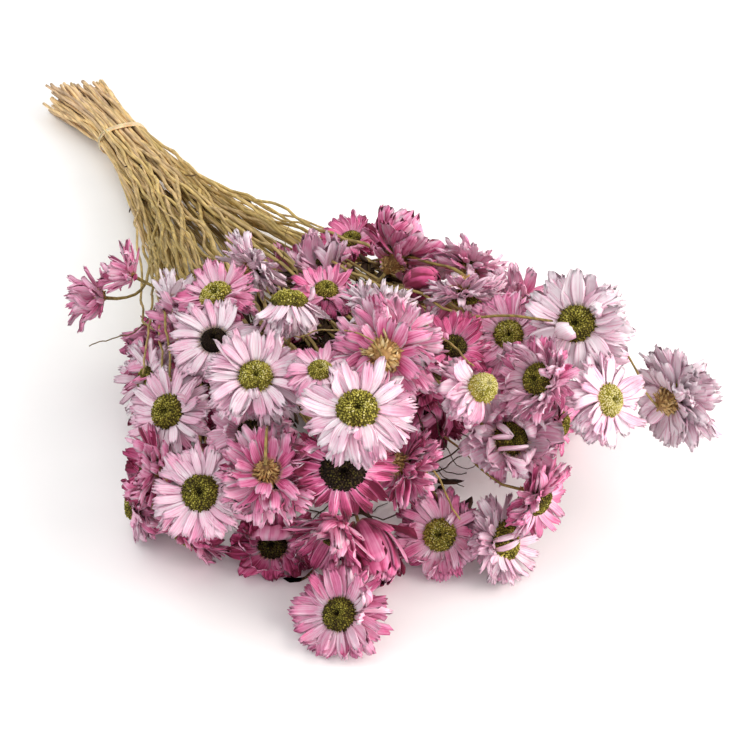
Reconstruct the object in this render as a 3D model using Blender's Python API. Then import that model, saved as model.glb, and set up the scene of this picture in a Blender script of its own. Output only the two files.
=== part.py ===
"""A tied bunch of dried everlasting daisies, lying on a surface.

The stems of one plant share a stalk, so each `stem_spray_NN` is one solid: a main stalk
from its cut end through the tie, the branches that fan out of it, and a half closed bud
on one of them.  Each `flower_head_NN` is the head on one branch: a turned solid whose
rim is scalloped like its rays.  `tie_band` is the elastic band round the stalks.

The bunch lies along Y, with its cut ends at +Y, its flowers at -Y and the floor at Z = 0.
"""
import math

import bmesh
import bpy
import numpy as np
from mathutils import Vector

MM = 0.001

# ---- driving dimensions, in millimetres ----------------------------------------------
TIE = np.array((0.0, 297.0, 16.0))   # middle of the tied bundle
CUT_Y = 376.0            # mean place of the cut ends
CUT_UNEVEN = 7.0         # the cut ends differ in length by this much each way
CUT_SPREAD = 1.5         # how much wider the stalks lie at their cut ends than in the tie
STALK_RADIUS = 2.4       # main stalk of one plant
BRANCH_RADIUS = 1.3      # stem that carries one head
STALK_PITCH = 5.2        # from one stalk to the next inside the tie
LAYERS = (4, 5, 4)       # stalks in each layer of the tied bundle, from the floor up
BAND_WIDTH = 3.6
BAND_THICKNESS = 1.2
FORK_FROM = 30.0         # the first branch leaves its stalk this far ahead of the tie
FORK_STEP = 9.0          # and each one after it this much farther on
FAN = 1.2                # how the stalks bow out: 1 is straight, more opens later
LEAVING = 0.9            # how long a branch holds its stalk's way, as a part of its length
ARRIVING = 0.45          # and how early it turns to meet its head
STALK_STEPS = 5
BRANCH_STEPS = 8
NECK = 9.0               # straight stretch of stem behind each head
GAP = 0.35               # clear air between separate solids
RESTING_BELOW = 3.0      # a flower this close to the floor lies on it
SIDES = 12               # facets round a head
BUD_SIDES = 8
SEED = 7

# A head is a profile turned about its axis.  Each pair is a radius and a height along
# the axis, as fractions of the width across; the rays start at height 0.
PROFILES = {
    "open": ((0.045, -0.24), (0.13, -0.17), (0.17, -0.07), (0.42, 0.0), (0.42, 0.045),
             (0.18, 0.06), (0.11, 0.12)),
    "cup": ((0.05, -0.28), (0.16, -0.18), (0.25, 0.0), (0.37, 0.24), (0.31, 0.26),
            (0.16, 0.07), (0.09, 0.12)),
    "bud": ((0.06, -0.45), (0.2, -0.3), (0.3, 0.0), (0.32, 0.3), (0.2, 0.5)),
}
CROWNS = {"open": 0.14, "cup": 0.14, "bud": 0.56}      # height of the tip on the axis
RIM_RINGS = {"open": (3, 4), "cup": (3, 4), "bud": ()}
SCALLOP = 0.8            # radius between two rays, as a part of the radius at a ray
RIND = 1.5               # half thickness that a ring counts as having in clearance sums

TONES = {
    "white": (0.88, 0.80, 0.84),
    "pale": (0.80, 0.56, 0.68),
    "rose": (0.66, 0.28, 0.45),
    "deep": (0.44, 0.08, 0.22),
    "straw": (0.52, 0.40, 0.20),
    "stem": (0.42, 0.30, 0.13),
    "band": (0.70, 0.55, 0.36),
}

# ---- where each flower lies -----------------------------------------------------------
# x, y and z of the head's middle, the heading and rise of its face in degrees, the width
# across its rays, its form and its tone.  The heap is listed from the top down.
HEADS = (
    (-26, -59, 96, 55, -30, 42, "open", "rose"),
    (-51, -54, 92, -120, 70, 26, "open", "pale"),
    (-50, -81, 92, -115, 55, 40, "open", "pale"),
    (-38, 0, 88, 60, 75, 36, "open", "white"),
    (53, -66, 88, -140, 35, 40, "open", "pale"),
    (-70, -38, 86, -115, 55, 38, "open", "pale"),
    (-6, -16, 84, 60, 60, 34, "open", "white"),
    (6, -53, 84, -110, 50, 28, "open", "deep"),
    (1, -81, 84, -90, 45, 30, "open", "pale"),
    (-15, 14, 78, -100, 70, 28, "open", "rose"),
    (28, -79, 78, -165, 30, 36, "open", "deep"),
    (-55, 34, 76, 145, 60, 34, "open", "rose"),
    (36, -11, 74, -105, -45, 38, "open", "rose"),
    (-66, 11, 72, -125, 50, 36, "open", "white"),
    (39, -40, 72, -125, 35, 34, "open", "rose"),
    (-28, 58, 70, 15, 30, 32, "open", "rose"),
    (50, -93, 70, -75, 25, 34, "open", "pale"),
    (90, -84, 52, 0, 0, 38, "open", "pale"),
    (-58, -84, 68, -110, 15, 38, "open", "rose"),
    (35, 43, 67, 10, 40, 40, "cup", "rose"),
    (56, 19, 67, 25, 45, 34, "open", "rose"),
    (62, -11, 64, 40, 5, 34, "open", "rose"),
    (-78, -66, 62, 55, -70, 38, "open", "rose"),
    (-73, -38, 60, -120, 40, 34, "open", "pale"),
    (-100, -51, 52, -120, 40, 36, "open", "pale"),
    (-89, 4, 50, -150, 35, 36, "open", "pale"),
    (20, -74, 50, -110, 40, 36, "cup", "rose"),
    (36, 91, 48, -145, 65, 28, "open", "rose"),
    (-23, -69, 48, -30, -30, 32, "open", "deep"),
    (89, -28, 40, -10, 15, 32, "cup", "deep"),
    (-104, -8, 34, 165, 15, 30, "cup", "deep"),
    (-80, 52, 32, -170, 15, 32, "open", "pale"),
    (17, -92, 32, -70, -10, 34, "open", "pale"),
    (86, -4, 30, -40, 15, 34, "open", "rose"),
    (85, 65, 26, -25, 20, 34, "open", "pale"),
    (100, 48, 14, -35, 10, 34, "open", "rose"),
    (-97, -25, 13, -155, -35, 34, "open", "rose"),
    (-109, 0, 13, 165, 0, 32, "open", "rose"),
    (10, -90, 13, -75, 35, 36, "open", "pale"),
    (77, 113, 13, -25, 30, 34, "open", "rose"),
    (72, -33, 13, -60, 0, 32, "open", "rose"),
    (-9, -74, 12, -140, 40, 36, "open", "rose"),
    (82, 31, 11, -30, 40, 32, "open", "rose"),
    (-65, -93, 10, -120, 55, 36, "open", "rose"),
    (96, 84, 11, -60, 20, 30, "cup", "rose"),
    (-68, -42, 8, -120, 40, 30, "cup", "rose"),
)
BUDS = (
    (28, 16, 66, -90, 55, 16, "bud", "deep"),
    (-72, 93, 60, 140, 25, 22, "bud", "deep"),
    (-60, 71, 57, 40, 25, 20, "bud", "straw"),
    (-65, 53, 55, -175, 45, 20, "bud", "rose"),
    (12, 74, 52, -175, 80, 22, "bud", "pale"),
    (3, -43, 48, -90, -25, 24, "bud", "deep"),
    (-85, 105, 45, 160, 10, 24, "bud", "deep"),
    (41, 17, 40, -60, 45, 22, "bud", "deep"),
    (36, -18, 34, -65, 40, 22, "bud", "deep"),
    (-69, 81, 30, -165, 10, 20, "bud", "deep"),
    (10, 103, 30, -155, 65, 22, "bud", "rose"),
    (-58, -72, 28, -150, -20, 22, "bud", "deep"),
    (-40, -72, 13, -140, 55, 22, "bud", "deep"),
)


# ---- flowers as places, headings and rings --------------------------------------------
def unit(vectors):
    """Each row of an array, made one long; a row of zeros stays as it is."""
    length = np.linalg.norm(vectors, axis=-1, keepdims=True)
    return vectors / np.maximum(length, 1e-9)


class Flowers:
    """The heads and then the buds as arrays: `centre`, `axis` and `rings`.

    `axis` points the way a flower faces.  `rings` holds each flower's profile in
    millimetres, with the last ring repeated so that all have as many.
    """

    def __init__(self, rows):
        self.rows = rows
        self.centre = np.array([row[:3] for row in rows], float)
        heading, rise = np.radians([row[3:5] for row in rows]).T
        self.axis = np.stack((np.cos(heading) * np.cos(rise),
                              np.sin(heading) * np.cos(rise), np.sin(rise)), axis=1)
        count = max(len(profile) for profile in PROFILES.values())
        self.rings = np.empty((len(rows), count, 2))
        for index, row in enumerate(rows):
            profile = np.array(PROFILES[row[6]]) * row[5]
            self.rings[index] = profile[np.minimum(np.arange(count), len(profile) - 1)]
        reference = np.where(abs(self.axis[:, 2:]) < 0.9, (0, 0, 1), (1, 0, 0))
        self.side = unit(np.cross(reference, self.axis))
        self.up = np.cross(self.axis, self.side)

    def foot(self):
        """The middle of each flower's underside, where its stem meets it."""
        return self.centre + self.axis * self.rings[:, 0, 1:]

    def stem_ends(self):
        """The last two points of each stem: behind the head, and clear of its foot.

        The neck runs along the axis, unless the floor is in the way.  A stem that comes
        in at a slant stops farther off, by as much as its end face leans forward.
        """
        foot = self.foot()
        neck = foot - self.axis * NECK
        neck[:, 2] = np.maximum(neck[:, 2], BRANCH_RADIUS + GAP)
        way = unit(foot - neck)
        slant = np.linalg.norm(np.cross(way, self.axis), axis=1, keepdims=True)
        return neck, foot - way * (GAP + 1.7 * BRANCH_RADIUS * slant)

    def rim_points(self, count=12):
        """`count` points on every ring of every flower, one row of points a flower."""
        turn = np.arange(count) * math.tau / count
        circle = (self.side[:, None] * np.cos(turn)[:, None]
                  + self.up[:, None] * np.sin(turn)[:, None])
        radius = np.maximum(self.rings[:, :, 0] - RIND, 0)[:, :, None, None]
        height = self.rings[:, :, 1, None, None] * self.axis[:, None, None]
        points = self.centre[:, None, None] + height + circle[:, None] * radius
        return points.reshape(len(self.rows), -1, 3)

    def away_from(self, points, which):
        """Vectors to `points` from the nearest disc of flower `which`, and their lengths.

        Each ring, and the ring half way to the next, is a flat disc; the nearest point
        of a disc is found by clipping the distance from the axis to its radius.
        """
        offset = points - self.centre[which][:, None]
        axis = self.axis[which][:, None]
        height = (offset * axis).sum(2)
        outward = offset - height[..., None] * axis
        reach = np.linalg.norm(outward, axis=2)
        rings = self.rings[which]
        discs = np.concatenate((rings, (rings[:, 1:] + rings[:, :-1]) / 2), axis=1)
        beyond = reach[:, :, None] - np.maximum(discs[:, None, :, 0] - RIND, 0)
        beyond = np.maximum(beyond, 0)
        above = height[:, :, None] - discs[:, None, :, 1]
        nearest = np.hypot(beyond, above).argmin(2)[..., None]
        beyond = np.take_along_axis(beyond, nearest, 2)
        above = np.take_along_axis(above, nearest, 2)
        vector = unit(outward) * beyond + axis * above
        return vector, np.hypot(beyond, above)[..., 0]

    def ease_apart(self, rounds=60, share=0.25):
        """Push flowers that touch away from each other, and up off the floor."""
        one, other = np.nonzero(~np.eye(len(self.rows), dtype=bool))
        widest = max(row[5] for row in self.rows)
        for _ in range(rounds):
            apart = self.centre[one] - self.centre[other]
            near = np.linalg.norm(apart, axis=1) < widest
            a, b, between = one[near], other[near], unit(apart[near])
            vector, length = self.away_from(self.rim_points()[a], b)
            overlap = np.maximum(2 * RIND + GAP - length, 0)
            way = unit((unit(vector) * overlap[..., None]).sum(1)) + between
            push = unit(way) * overlap.max(1)[:, None] * share
            np.add.at(self.centre, a, push)
            np.add.at(self.centre, b, -push)
            lowest = self.rim_points()[:, :, 2].min(1) - RIND
            self.centre[:, 2] += np.maximum(-lowest, 0)


# ---- stalks and branches as strings of points -----------------------------------------
def tie_cells():
    """The place of each stalk inside the tie, in layers nested like stacked pipes."""
    cells = []
    for layer, count in enumerate(LAYERS):
        height = (layer - (len(LAYERS) - 1) / 2) * STALK_PITCH * math.sqrt(3) / 2
        for column in range(count):
            cells.append(((column - (count - 1) / 2) * STALK_PITCH, 0.0, height))
    return np.array(cells)


def deal_out(flowers, cells):
    """Give each stalk its own flowers: layers by how they rise, columns by bearing."""
    way = flowers.foot() - TIE
    rise = np.argsort(way[:, 2] / -way[:, 1], kind="stable")
    share = len(rise) / len(cells)
    dealt = []
    for count in LAYERS:
        first = round(len(dealt) * share)
        layer = rise[first:round((len(dealt) + count) * share)]
        layer = layer[np.argsort(way[layer, 0] / -way[layer, 1], kind="stable")]
        dealt.extend(np.array_split(layer, count))
    return dealt


def stalk_line(cell, members, flowers, uneven):
    """Points of one main stalk: cut end, tie, and on toward the middle of its flowers.

    Ahead of the tie the sideways drift grows as the distance to the power FAN.
    """
    spread = cell * CUT_SPREAD
    lift = -tie_cells()[:, 2].min() * CUT_SPREAD + STALK_RADIUS
    end = np.array((TIE[0] + spread[0], CUT_Y + uneven, lift + spread[2]))
    target = flowers.foot()[members].mean(0) - TIE - cell
    length = FORK_FROM + FORK_STEP * len(members)
    ahead = np.linspace(0.0, length, STALK_STEPS)
    drift = (ahead / -target[1]) ** FAN
    line = TIE + cell + np.outer(drift, target * (1, 0, 1)) - np.outer(ahead, (0, 1, 0))
    return np.vstack((end, TIE + cell + (0, 4 * BAND_WIDTH, 0), line))


def first_branches(stalks, dealt, flowers):
    """One string of points a flower, from inside its stalk to the foot of its head.

    Each is a cubic that leaves along the stalk and arrives along the flower's axis.
    """
    step = np.linspace(0.0, 1.0, BRANCH_STEPS)[:, None]
    necks, ends = flowers.stem_ends()
    strings = np.empty((len(flowers.rows), BRANCH_STEPS + 1, 3))
    for stalk, members in zip(stalks, dealt):
        run = np.append(0.0, np.cumsum(np.linalg.norm(np.diff(stalk, axis=0), axis=1)))
        nearest_first = members[np.argsort(-flowers.centre[members, 1], kind="stable")]
        for place, index in enumerate(nearest_first):
            back = FORK_STEP * (len(members) - 1 - place) + STALK_RADIUS
            start = np.array([np.interp(run[-1] - back, run, stalk[:, k])
                              for k in range(3)])
            neck = necks[index]
            reach = np.linalg.norm(neck - start)
            leave = unit(stalk[-1] - stalk[-2]) * reach * LEAVING
            arrive = flowers.axis[index] * reach * ARRIVING
            cubic = ((2 * step**3 - 3 * step**2 + 1) * start
                     + (step**3 - 2 * step**2 + step) * leave
                     + (3 * step**2 - 2 * step**3) * neck
                     + (step**3 - step**2) * arrive)
            strings[index] = np.vstack((cubic, ends[index]))
    return strings


def nearest_between(p0, p1, q0, q1, above):
    """The closest places on pairs of straight pieces, and the way from one to the other.

    Returns the fraction along each piece, a vector from the second to the first, and
    their distance.  Where two pieces all but cross, the vector is their common normal,
    turned so that the first goes over the second if `above` says so.
    """
    d1, d2, r = p1 - p0, q1 - q0, p0 - q0
    a, e = (d1 * d1).sum(-1), (d2 * d2).sum(-1)
    b, c, f = (d1 * d2).sum(-1), (d1 * r).sum(-1), (d2 * r).sum(-1)
    s = np.clip((b * f - c * e) / np.maximum(a * e - b * b, 1e-6), 0, 1)
    t = np.clip((b * s + f) / e, 0, 1)
    s = np.clip((b * t - c) / a, 0, 1)
    vector = r + d1 * s[:, None] - d2 * t[:, None]
    length = np.linalg.norm(vector, axis=1)
    normal = unit(np.cross(d1, d2))
    normal[(normal[:, 2] > 0) != above] *= -1
    crossing = length < BRANCH_RADIUS
    vector[crossing] = normal[crossing]
    return s, t, vector, length


def ease_branches(strings, stalks, dealt, flowers, rounds=500, calm=240):
    """Move the branches clear of each other, of the stalks, the heads and the floor.

    In each round a string is also smoothed, except in the last `calm` rounds.  Its
    first point stays in its stalk, and its last three keep it square to its head.
    """
    flower_of = np.repeat(np.arange(len(strings)), BRANCH_STEPS)
    piece_of = np.tile(np.arange(BRANCH_STEPS), len(strings))
    plant = np.empty(len(strings), int)
    for number, members in enumerate(dealt):
        plant[members] = number
    stalk_pieces = np.concatenate([np.stack((line[:-1], line[1:]), 1) for line in stalks])
    stalk_plant = np.repeat(np.arange(len(stalks)), [len(line) - 1 for line in stalks])
    free = np.zeros((1, BRANCH_STEPS + 1, 1))
    free[:, 1:-2] = 1
    along = np.linspace(0.05, 0.95, 7)[:, None]
    radius = BRANCH_RADIUS

    one, other = np.triu_indices(len(flower_of), 1)
    forked = (plant[flower_of[one]] == plant[flower_of[other]]) & \
        (np.minimum(piece_of[one], piece_of[other]) < 2)
    keep = (flower_of[one] != flower_of[other]) & ~forked
    one, other = one[keep], other[keep]
    branch, stalk = np.nonzero(plant[flower_of][:, None] != stalk_plant[None])
    piece, head = np.nonzero(np.ones((len(flower_of), len(strings)), bool))
    own_neck = (flower_of[piece] == head) & (piece_of[piece] == BRANCH_STEPS - 1)
    piece, head = piece[~own_neck], head[~own_neck]

    for turn in range(rounds):
        start, stop = strings[:, :-1].reshape(-1, 3), strings[:, 1:].reshape(-1, 3)
        push = np.zeros((2,) + start.shape)

        def shove(pieces, place, vector, length, wanted, part):
            """Add a push to both ends of each piece that lies too near something."""
            lacking = np.maximum(wanted - length, 0)
            move = unit(vector) * (lacking * part)[..., None]
            np.add.at(push[0], pieces, move * (1 - place)[..., None])
            np.add.at(push[1], pieces, move * place[..., None])

        middle = (start + stop) / 2
        size = np.linalg.norm(stop - start, axis=1)
        near = np.linalg.norm(middle[one] - middle[other], axis=1) < \
            (size[one] + size[other]) / 2 + 4 * radius
        a, b = one[near], other[near]
        over = plant[flower_of[a]] >= plant[flower_of[b]]
        s, t, vector, length = nearest_between(start[a], stop[a], start[b], stop[b], over)
        shove(a, s, vector, length, 2 * radius + 2 * GAP, 0.5)
        shove(b, t, -vector, length, 2 * radius + 2 * GAP, 0.5)

        p, q = stalk_pieces[stalk].transpose(1, 0, 2)
        over = plant[flower_of[branch]] >= stalk_plant[stalk]
        s, t, vector, length = nearest_between(start[branch], stop[branch], p, q, over)
        shove(branch, s, vector, length, radius + STALK_RADIUS + 2 * GAP, 1.0)

        near = np.linalg.norm(middle[piece] - flowers.centre[head], axis=1) < \
            size[piece] / 2 + 30
        a, b = piece[near], head[near]
        points = start[a][:, None] + (stop[a] - start[a])[:, None] * along
        vector, length = flowers.away_from(points, b)
        worst = length.argmin(1)[:, None]
        vector = np.take_along_axis(vector, worst[..., None], 1)[:, 0]
        length = np.take_along_axis(length, worst, 1)[:, 0]
        outward = np.take_along_axis(points, worst[..., None], 1)[:, 0] - flowers.centre[b]
        way = unit(vector) + unit(outward)
        shove(a, along[worst[:, 0], 0], way, length, radius + RIND + 2 * GAP, 1.0)

        moved = np.zeros_like(strings)
        moved[:, :-1] += push[0].reshape(len(strings), -1, 3)
        moved[:, 1:] += push[1].reshape(len(strings), -1, 3)
        strings = strings + np.clip(moved, -3, 3) * free
        if turn < rounds - calm:
            bend = np.zeros_like(strings)
            bend[:, 1:-1] = (strings[:, 2:] + strings[:, :-2]) / 2 - strings[:, 1:-1]
            stiff = np.zeros_like(strings)
            stiff[:, 1:-1] = bend[:, 1:-1] - (bend[:, 2:] + bend[:, :-2]) / 2
            strings = strings + (0.25 * stiff + 0.02 * bend) * free
        low = radius + GAP - strings[:, :, 2:]
        strings[:, :, 2:] += np.maximum(low, 0) * free
    return strings


# ---- solids ---------------------------------------------------------------------------
def material(tone):
    """The Principled material of one tone, made once."""
    found = bpy.data.materials.get(tone)
    if found is None:
        found = bpy.data.materials.new(tone)
        found.use_nodes = True
        shader = found.node_tree.nodes["Principled BSDF"]
        shader.inputs["Base Color"].default_value = (*TONES[tone], 1.0)
        shader.inputs["Roughness"].default_value = 0.7
        found.diffuse_color = (*TONES[tone], 1.0)
    return found


def add_object(name, mesh, collection, tone):
    """A mesh object of one material, in a collection."""
    mesh.materials.clear()
    mesh.materials.append(material(tone))
    item = bpy.data.objects.new(name, mesh)
    collection.objects.link(item)
    return item


def turned_head(name, form, across, sides):
    """A mesh: the profile of a form spun about Z, with a scalloped rim."""
    profile = [Vector((r, 0, z)) * across * MM for r, z in PROFILES[form]]
    crown = Vector((0, 0, CROWNS[form])) * across * MM
    foot = Vector((0, 0, profile[0].z))
    bm = bmesh.new()
    outline = [bm.verts.new(point) for point in (foot, *profile, crown)]
    edges = [bm.edges.new(pair) for pair in zip(outline, outline[1:])]
    bmesh.ops.spin(bm, geom=outline + edges, cent=(0, 0, 0), axis=(0, 0, 1),
                   angle=math.tau, steps=sides, use_merge=True)
    bmesh.ops.remove_doubles(bm, verts=bm.verts, dist=0.01 * MM)
    for ring in RIM_RINGS[form]:
        rim = [v for v in bm.verts if (v.co.xy.length - profile[ring].x) ** 2
               + (v.co.z - profile[ring].z) ** 2 < (0.01 * MM) ** 2]
        for vertex in rim:
            step = round(math.atan2(vertex.co.y, vertex.co.x) / math.tau * sides)
            if step % 2:
                vertex.co.xy *= SCALLOP
    bmesh.ops.recalc_face_normals(bm, faces=bm.faces)
    mesh = bpy.data.meshes.new(name)
    bm.to_mesh(mesh)
    bm.free()
    return mesh


def turn_of(flowers, index):
    """The rotation that turns a head from facing +Z to facing its way."""
    return Vector(flowers.axis[index]).to_track_quat("Z", "Y")


def lower_to_floor(flowers, meshes):
    """Drop each flower that all but touches the floor until it rests on it."""
    for index, mesh in enumerate(meshes):
        turn = turn_of(flowers, index)
        lowest = min((turn @ vertex.co).z for vertex in mesh.vertices) / MM
        clearance = flowers.centre[index, 2] + lowest
        if clearance < RESTING_BELOW:
            flowers.centre[index, 2] -= clearance


def place_flower(item, flowers, index):
    """Stand a turned head at its place, facing its way."""
    item.location = Vector(flowers.centre[index]) * MM
    item.rotation_mode = "QUATERNION"
    item.rotation_quaternion = turn_of(flowers, index)


def tube(name, points, radius):
    """A closed mesh tube along a string of points in millimetres."""
    curve = bpy.data.curves.new(name, "CURVE")
    curve.dimensions = "3D"
    curve.bevel_depth = radius * MM
    curve.bevel_resolution = 1
    curve.use_fill_caps = True
    spline = curve.splines.new("POLY")
    spline.points.add(len(points) - 1)
    for point, place in zip(spline.points, points):
        point.co = (*(place * MM), 1.0)
    guide = bpy.data.objects.new(name, curve)
    bpy.context.scene.collection.objects.link(guide)
    bpy.context.view_layer.update()
    mesh = bpy.data.meshes.new_from_object(
        guide.evaluated_get(bpy.context.evaluated_depsgraph_get()))
    bpy.data.objects.remove(guide)
    bpy.data.curves.remove(curve)
    bm = bmesh.new()
    bm.from_mesh(mesh)
    bmesh.ops.remove_doubles(bm, verts=bm.verts, dist=0.01 * MM)
    bmesh.ops.recalc_face_normals(bm, faces=bm.faces)
    bm.to_mesh(mesh)
    bm.free()
    return mesh


def join(base, additions):
    """Boolean unions of a base object with others, left as live modifiers."""
    for addition in additions:
        addition.hide_render = True
        addition.display_type = "WIRE"
        union = base.modifiers.new(addition.name, "BOOLEAN")
        union.operation = "UNION"
        union.solver = "EXACT"
        union.object = addition


def band_mesh(name):
    """The band: an outline round the tied stalks, extruded across its width.

    Its inner outline rolls round the hull of the outer stalks at one clearance; the
    outer one lies a band's thickness farther out.
    """
    cells = tie_cells()[:, [0, 2]]
    turns = np.linspace(0, math.tau, 48, endpoint=False)
    ways = np.stack((np.cos(turns), np.sin(turns)), axis=1)
    hull = cells[(ways @ cells.T).argmax(1)]
    clear = STALK_RADIUS + GAP
    bm = bmesh.new()
    loops = []
    for reach in (clear, clear + BAND_THICKNESS):
        ring = hull + ways * reach
        loops.append([bm.verts.new(((x + TIE[0]) * MM, (TIE[1] - BAND_WIDTH / 2) * MM,
                                    (z + TIE[2]) * MM)) for x, z in ring])
    inner, outer = loops
    flat = []
    for step in range(len(turns)):
        after = (step + 1) % len(turns)
        flat.append(bm.faces.new((inner[step], inner[after], outer[after], outer[step])))
    grown = bmesh.ops.extrude_face_region(bm, geom=flat)
    moved = [part for part in grown["geom"] if isinstance(part, bmesh.types.BMVert)]
    bmesh.ops.translate(bm, verts=moved, vec=(0, BAND_WIDTH * MM, 0))
    bmesh.ops.recalc_face_normals(bm, faces=bm.faces)
    mesh = bpy.data.meshes.new(name)
    bm.to_mesh(mesh)
    bm.free()
    return mesh


def set_down(items):
    """Hang the objects on an empty that puts the bunch's lowest middle at the origin."""
    bpy.context.view_layer.update()
    graph = bpy.context.evaluated_depsgraph_get()
    corners = []
    for item in items:
        mesh = item.evaluated_get(graph).to_mesh()
        place = np.empty(len(mesh.vertices) * 3)
        mesh.vertices.foreach_get("co", place)
        world = np.array(item.matrix_world)
        place = place.reshape(-1, 3) @ world[:3, :3].T + world[:3, 3]
        corners.extend((place.min(0), place.max(0)))
    low, high = np.min(corners, axis=0), np.max(corners, axis=0)
    rest = bpy.data.objects.new("bunch_origin", None)
    bpy.context.scene.collection.objects.link(rest)
    rest.location = (-(low[0] + high[0]) / 2, -(low[1] + high[1]) / 2, -low[2])
    return rest


def main():
    for item in list(bpy.data.objects):
        bpy.data.objects.remove(item)
    bunch = bpy.data.collections.new("dried_everlastings")
    cutters = bpy.data.collections.new("joined_shapes")
    bpy.context.scene.collection.children.link(bunch)
    bpy.context.scene.collection.children.link(cutters)

    flowers = Flowers(HEADS + BUDS)
    flowers.ease_apart()
    meshes = [turned_head(f"head_{number:02d}", row[6], row[5],
                          SIDES if number <= len(HEADS) else BUD_SIDES)
              for number, row in enumerate(flowers.rows, start=1)]
    lower_to_floor(flowers, meshes)
    cells = tie_cells()
    dealt = deal_out(flowers, cells)
    uneven = np.random.default_rng(SEED).uniform(-CUT_UNEVEN, CUT_UNEVEN, len(cells))
    stalks = [stalk_line(*each, flowers, length)
              for *each, length in zip(cells, dealt, uneven)]
    strings = first_branches(stalks, dealt, flowers)
    strings = ease_branches(strings, stalks, dealt, flowers)

    items = []
    for index, row in enumerate(HEADS):
        item = add_object(f"flower_head_{index + 1:02d}", meshes[index], bunch, row[7])
        place_flower(item, flowers, index)
        items.append(item)

    for number, (stalk, members) in enumerate(zip(stalks, dealt), start=1):
        name = f"stem_spray_{number:02d}"
        base = add_object(name, tube(name, stalk, STALK_RADIUS), bunch, "stem")
        additions = []
        for index in members:
            part = f"branch_{index + 1:02d}"
            points = strings[index]
            if index >= len(HEADS):
                tone = flowers.rows[index][7]
                closed = add_object(f"bud_{index + 1:02d}", meshes[index], cutters, tone)
                place_flower(closed, flowers, index)
                points = np.vstack((points, flowers.centre[index]))
                additions.append(closed)
            branch = tube(part, points, BRANCH_RADIUS)
            additions.insert(0, add_object(part, branch, cutters, "stem"))
        join(base, additions)
        items.append(base)

    items.append(add_object("tie_band", band_mesh("tie_band"), bunch, "band"))
    rest = set_down(items)
    for item in items + list(cutters.objects):
        item.parent = rest


main()
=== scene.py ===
"""A tied bunch of dried everlasting daisies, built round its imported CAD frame.

Every flower takes its place and its way of facing from its CAD solid, and every stem
follows the CAD stalk and branch that carry it.  The sizes and colours that a user would
change are in the property groups, and each operator makes one kind of piece.
"""
import math

import bpy
import numpy as np
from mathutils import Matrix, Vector


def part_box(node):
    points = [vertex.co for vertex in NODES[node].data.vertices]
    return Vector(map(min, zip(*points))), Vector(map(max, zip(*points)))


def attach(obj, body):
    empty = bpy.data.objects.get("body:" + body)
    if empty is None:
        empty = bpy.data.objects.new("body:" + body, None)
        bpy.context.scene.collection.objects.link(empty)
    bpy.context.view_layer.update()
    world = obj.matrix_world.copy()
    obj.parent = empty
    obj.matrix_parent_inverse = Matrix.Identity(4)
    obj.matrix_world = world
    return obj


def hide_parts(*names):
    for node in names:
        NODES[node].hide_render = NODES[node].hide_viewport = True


bl_info = {
    "name": "Bunch of dried everlastings",
    "version": (1, 0, 0),
    "blender": (4, 5, 0),
    "location": "3D View > Sidebar > Everlastings",
    "description": "Papery pink daisies on straw stems, tied with a rubber band",
    "category": "Object",
}

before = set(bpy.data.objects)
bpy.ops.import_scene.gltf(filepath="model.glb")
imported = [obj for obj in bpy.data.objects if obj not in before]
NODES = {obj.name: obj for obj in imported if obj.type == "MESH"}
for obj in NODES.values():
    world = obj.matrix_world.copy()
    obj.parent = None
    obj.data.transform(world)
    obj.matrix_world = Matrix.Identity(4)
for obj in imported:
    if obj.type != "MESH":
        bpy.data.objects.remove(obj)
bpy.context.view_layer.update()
MM = 0.001
WELD = 0.00005           # corners closer than this are one corner
CLEAR = 0.0001           # the least height of anything above the floor
BENT = 0.0045            # what the floor bends up ends this high
TIE = np.array((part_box("tie_band")[0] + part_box("tie_band")[1]) / 2)
SPRAYS = sorted(name for name in NODES if name.startswith("stem_spray"))
HEADS = sorted(name for name in NODES if name.startswith("flower_head"))
MAP_NAME = "surface"      # the map that runs across and along a ray, scale or leaf
SEED = 11
DRAWS = ("rays", "disc", "calyx", "paths", "stems", "leaves")
GOLDEN = math.pi * (3 - math.sqrt(5))  # the turn from one floret or scale to the next
CAD_SIDES = 6            # corners round a CAD stalk or branch

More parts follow.
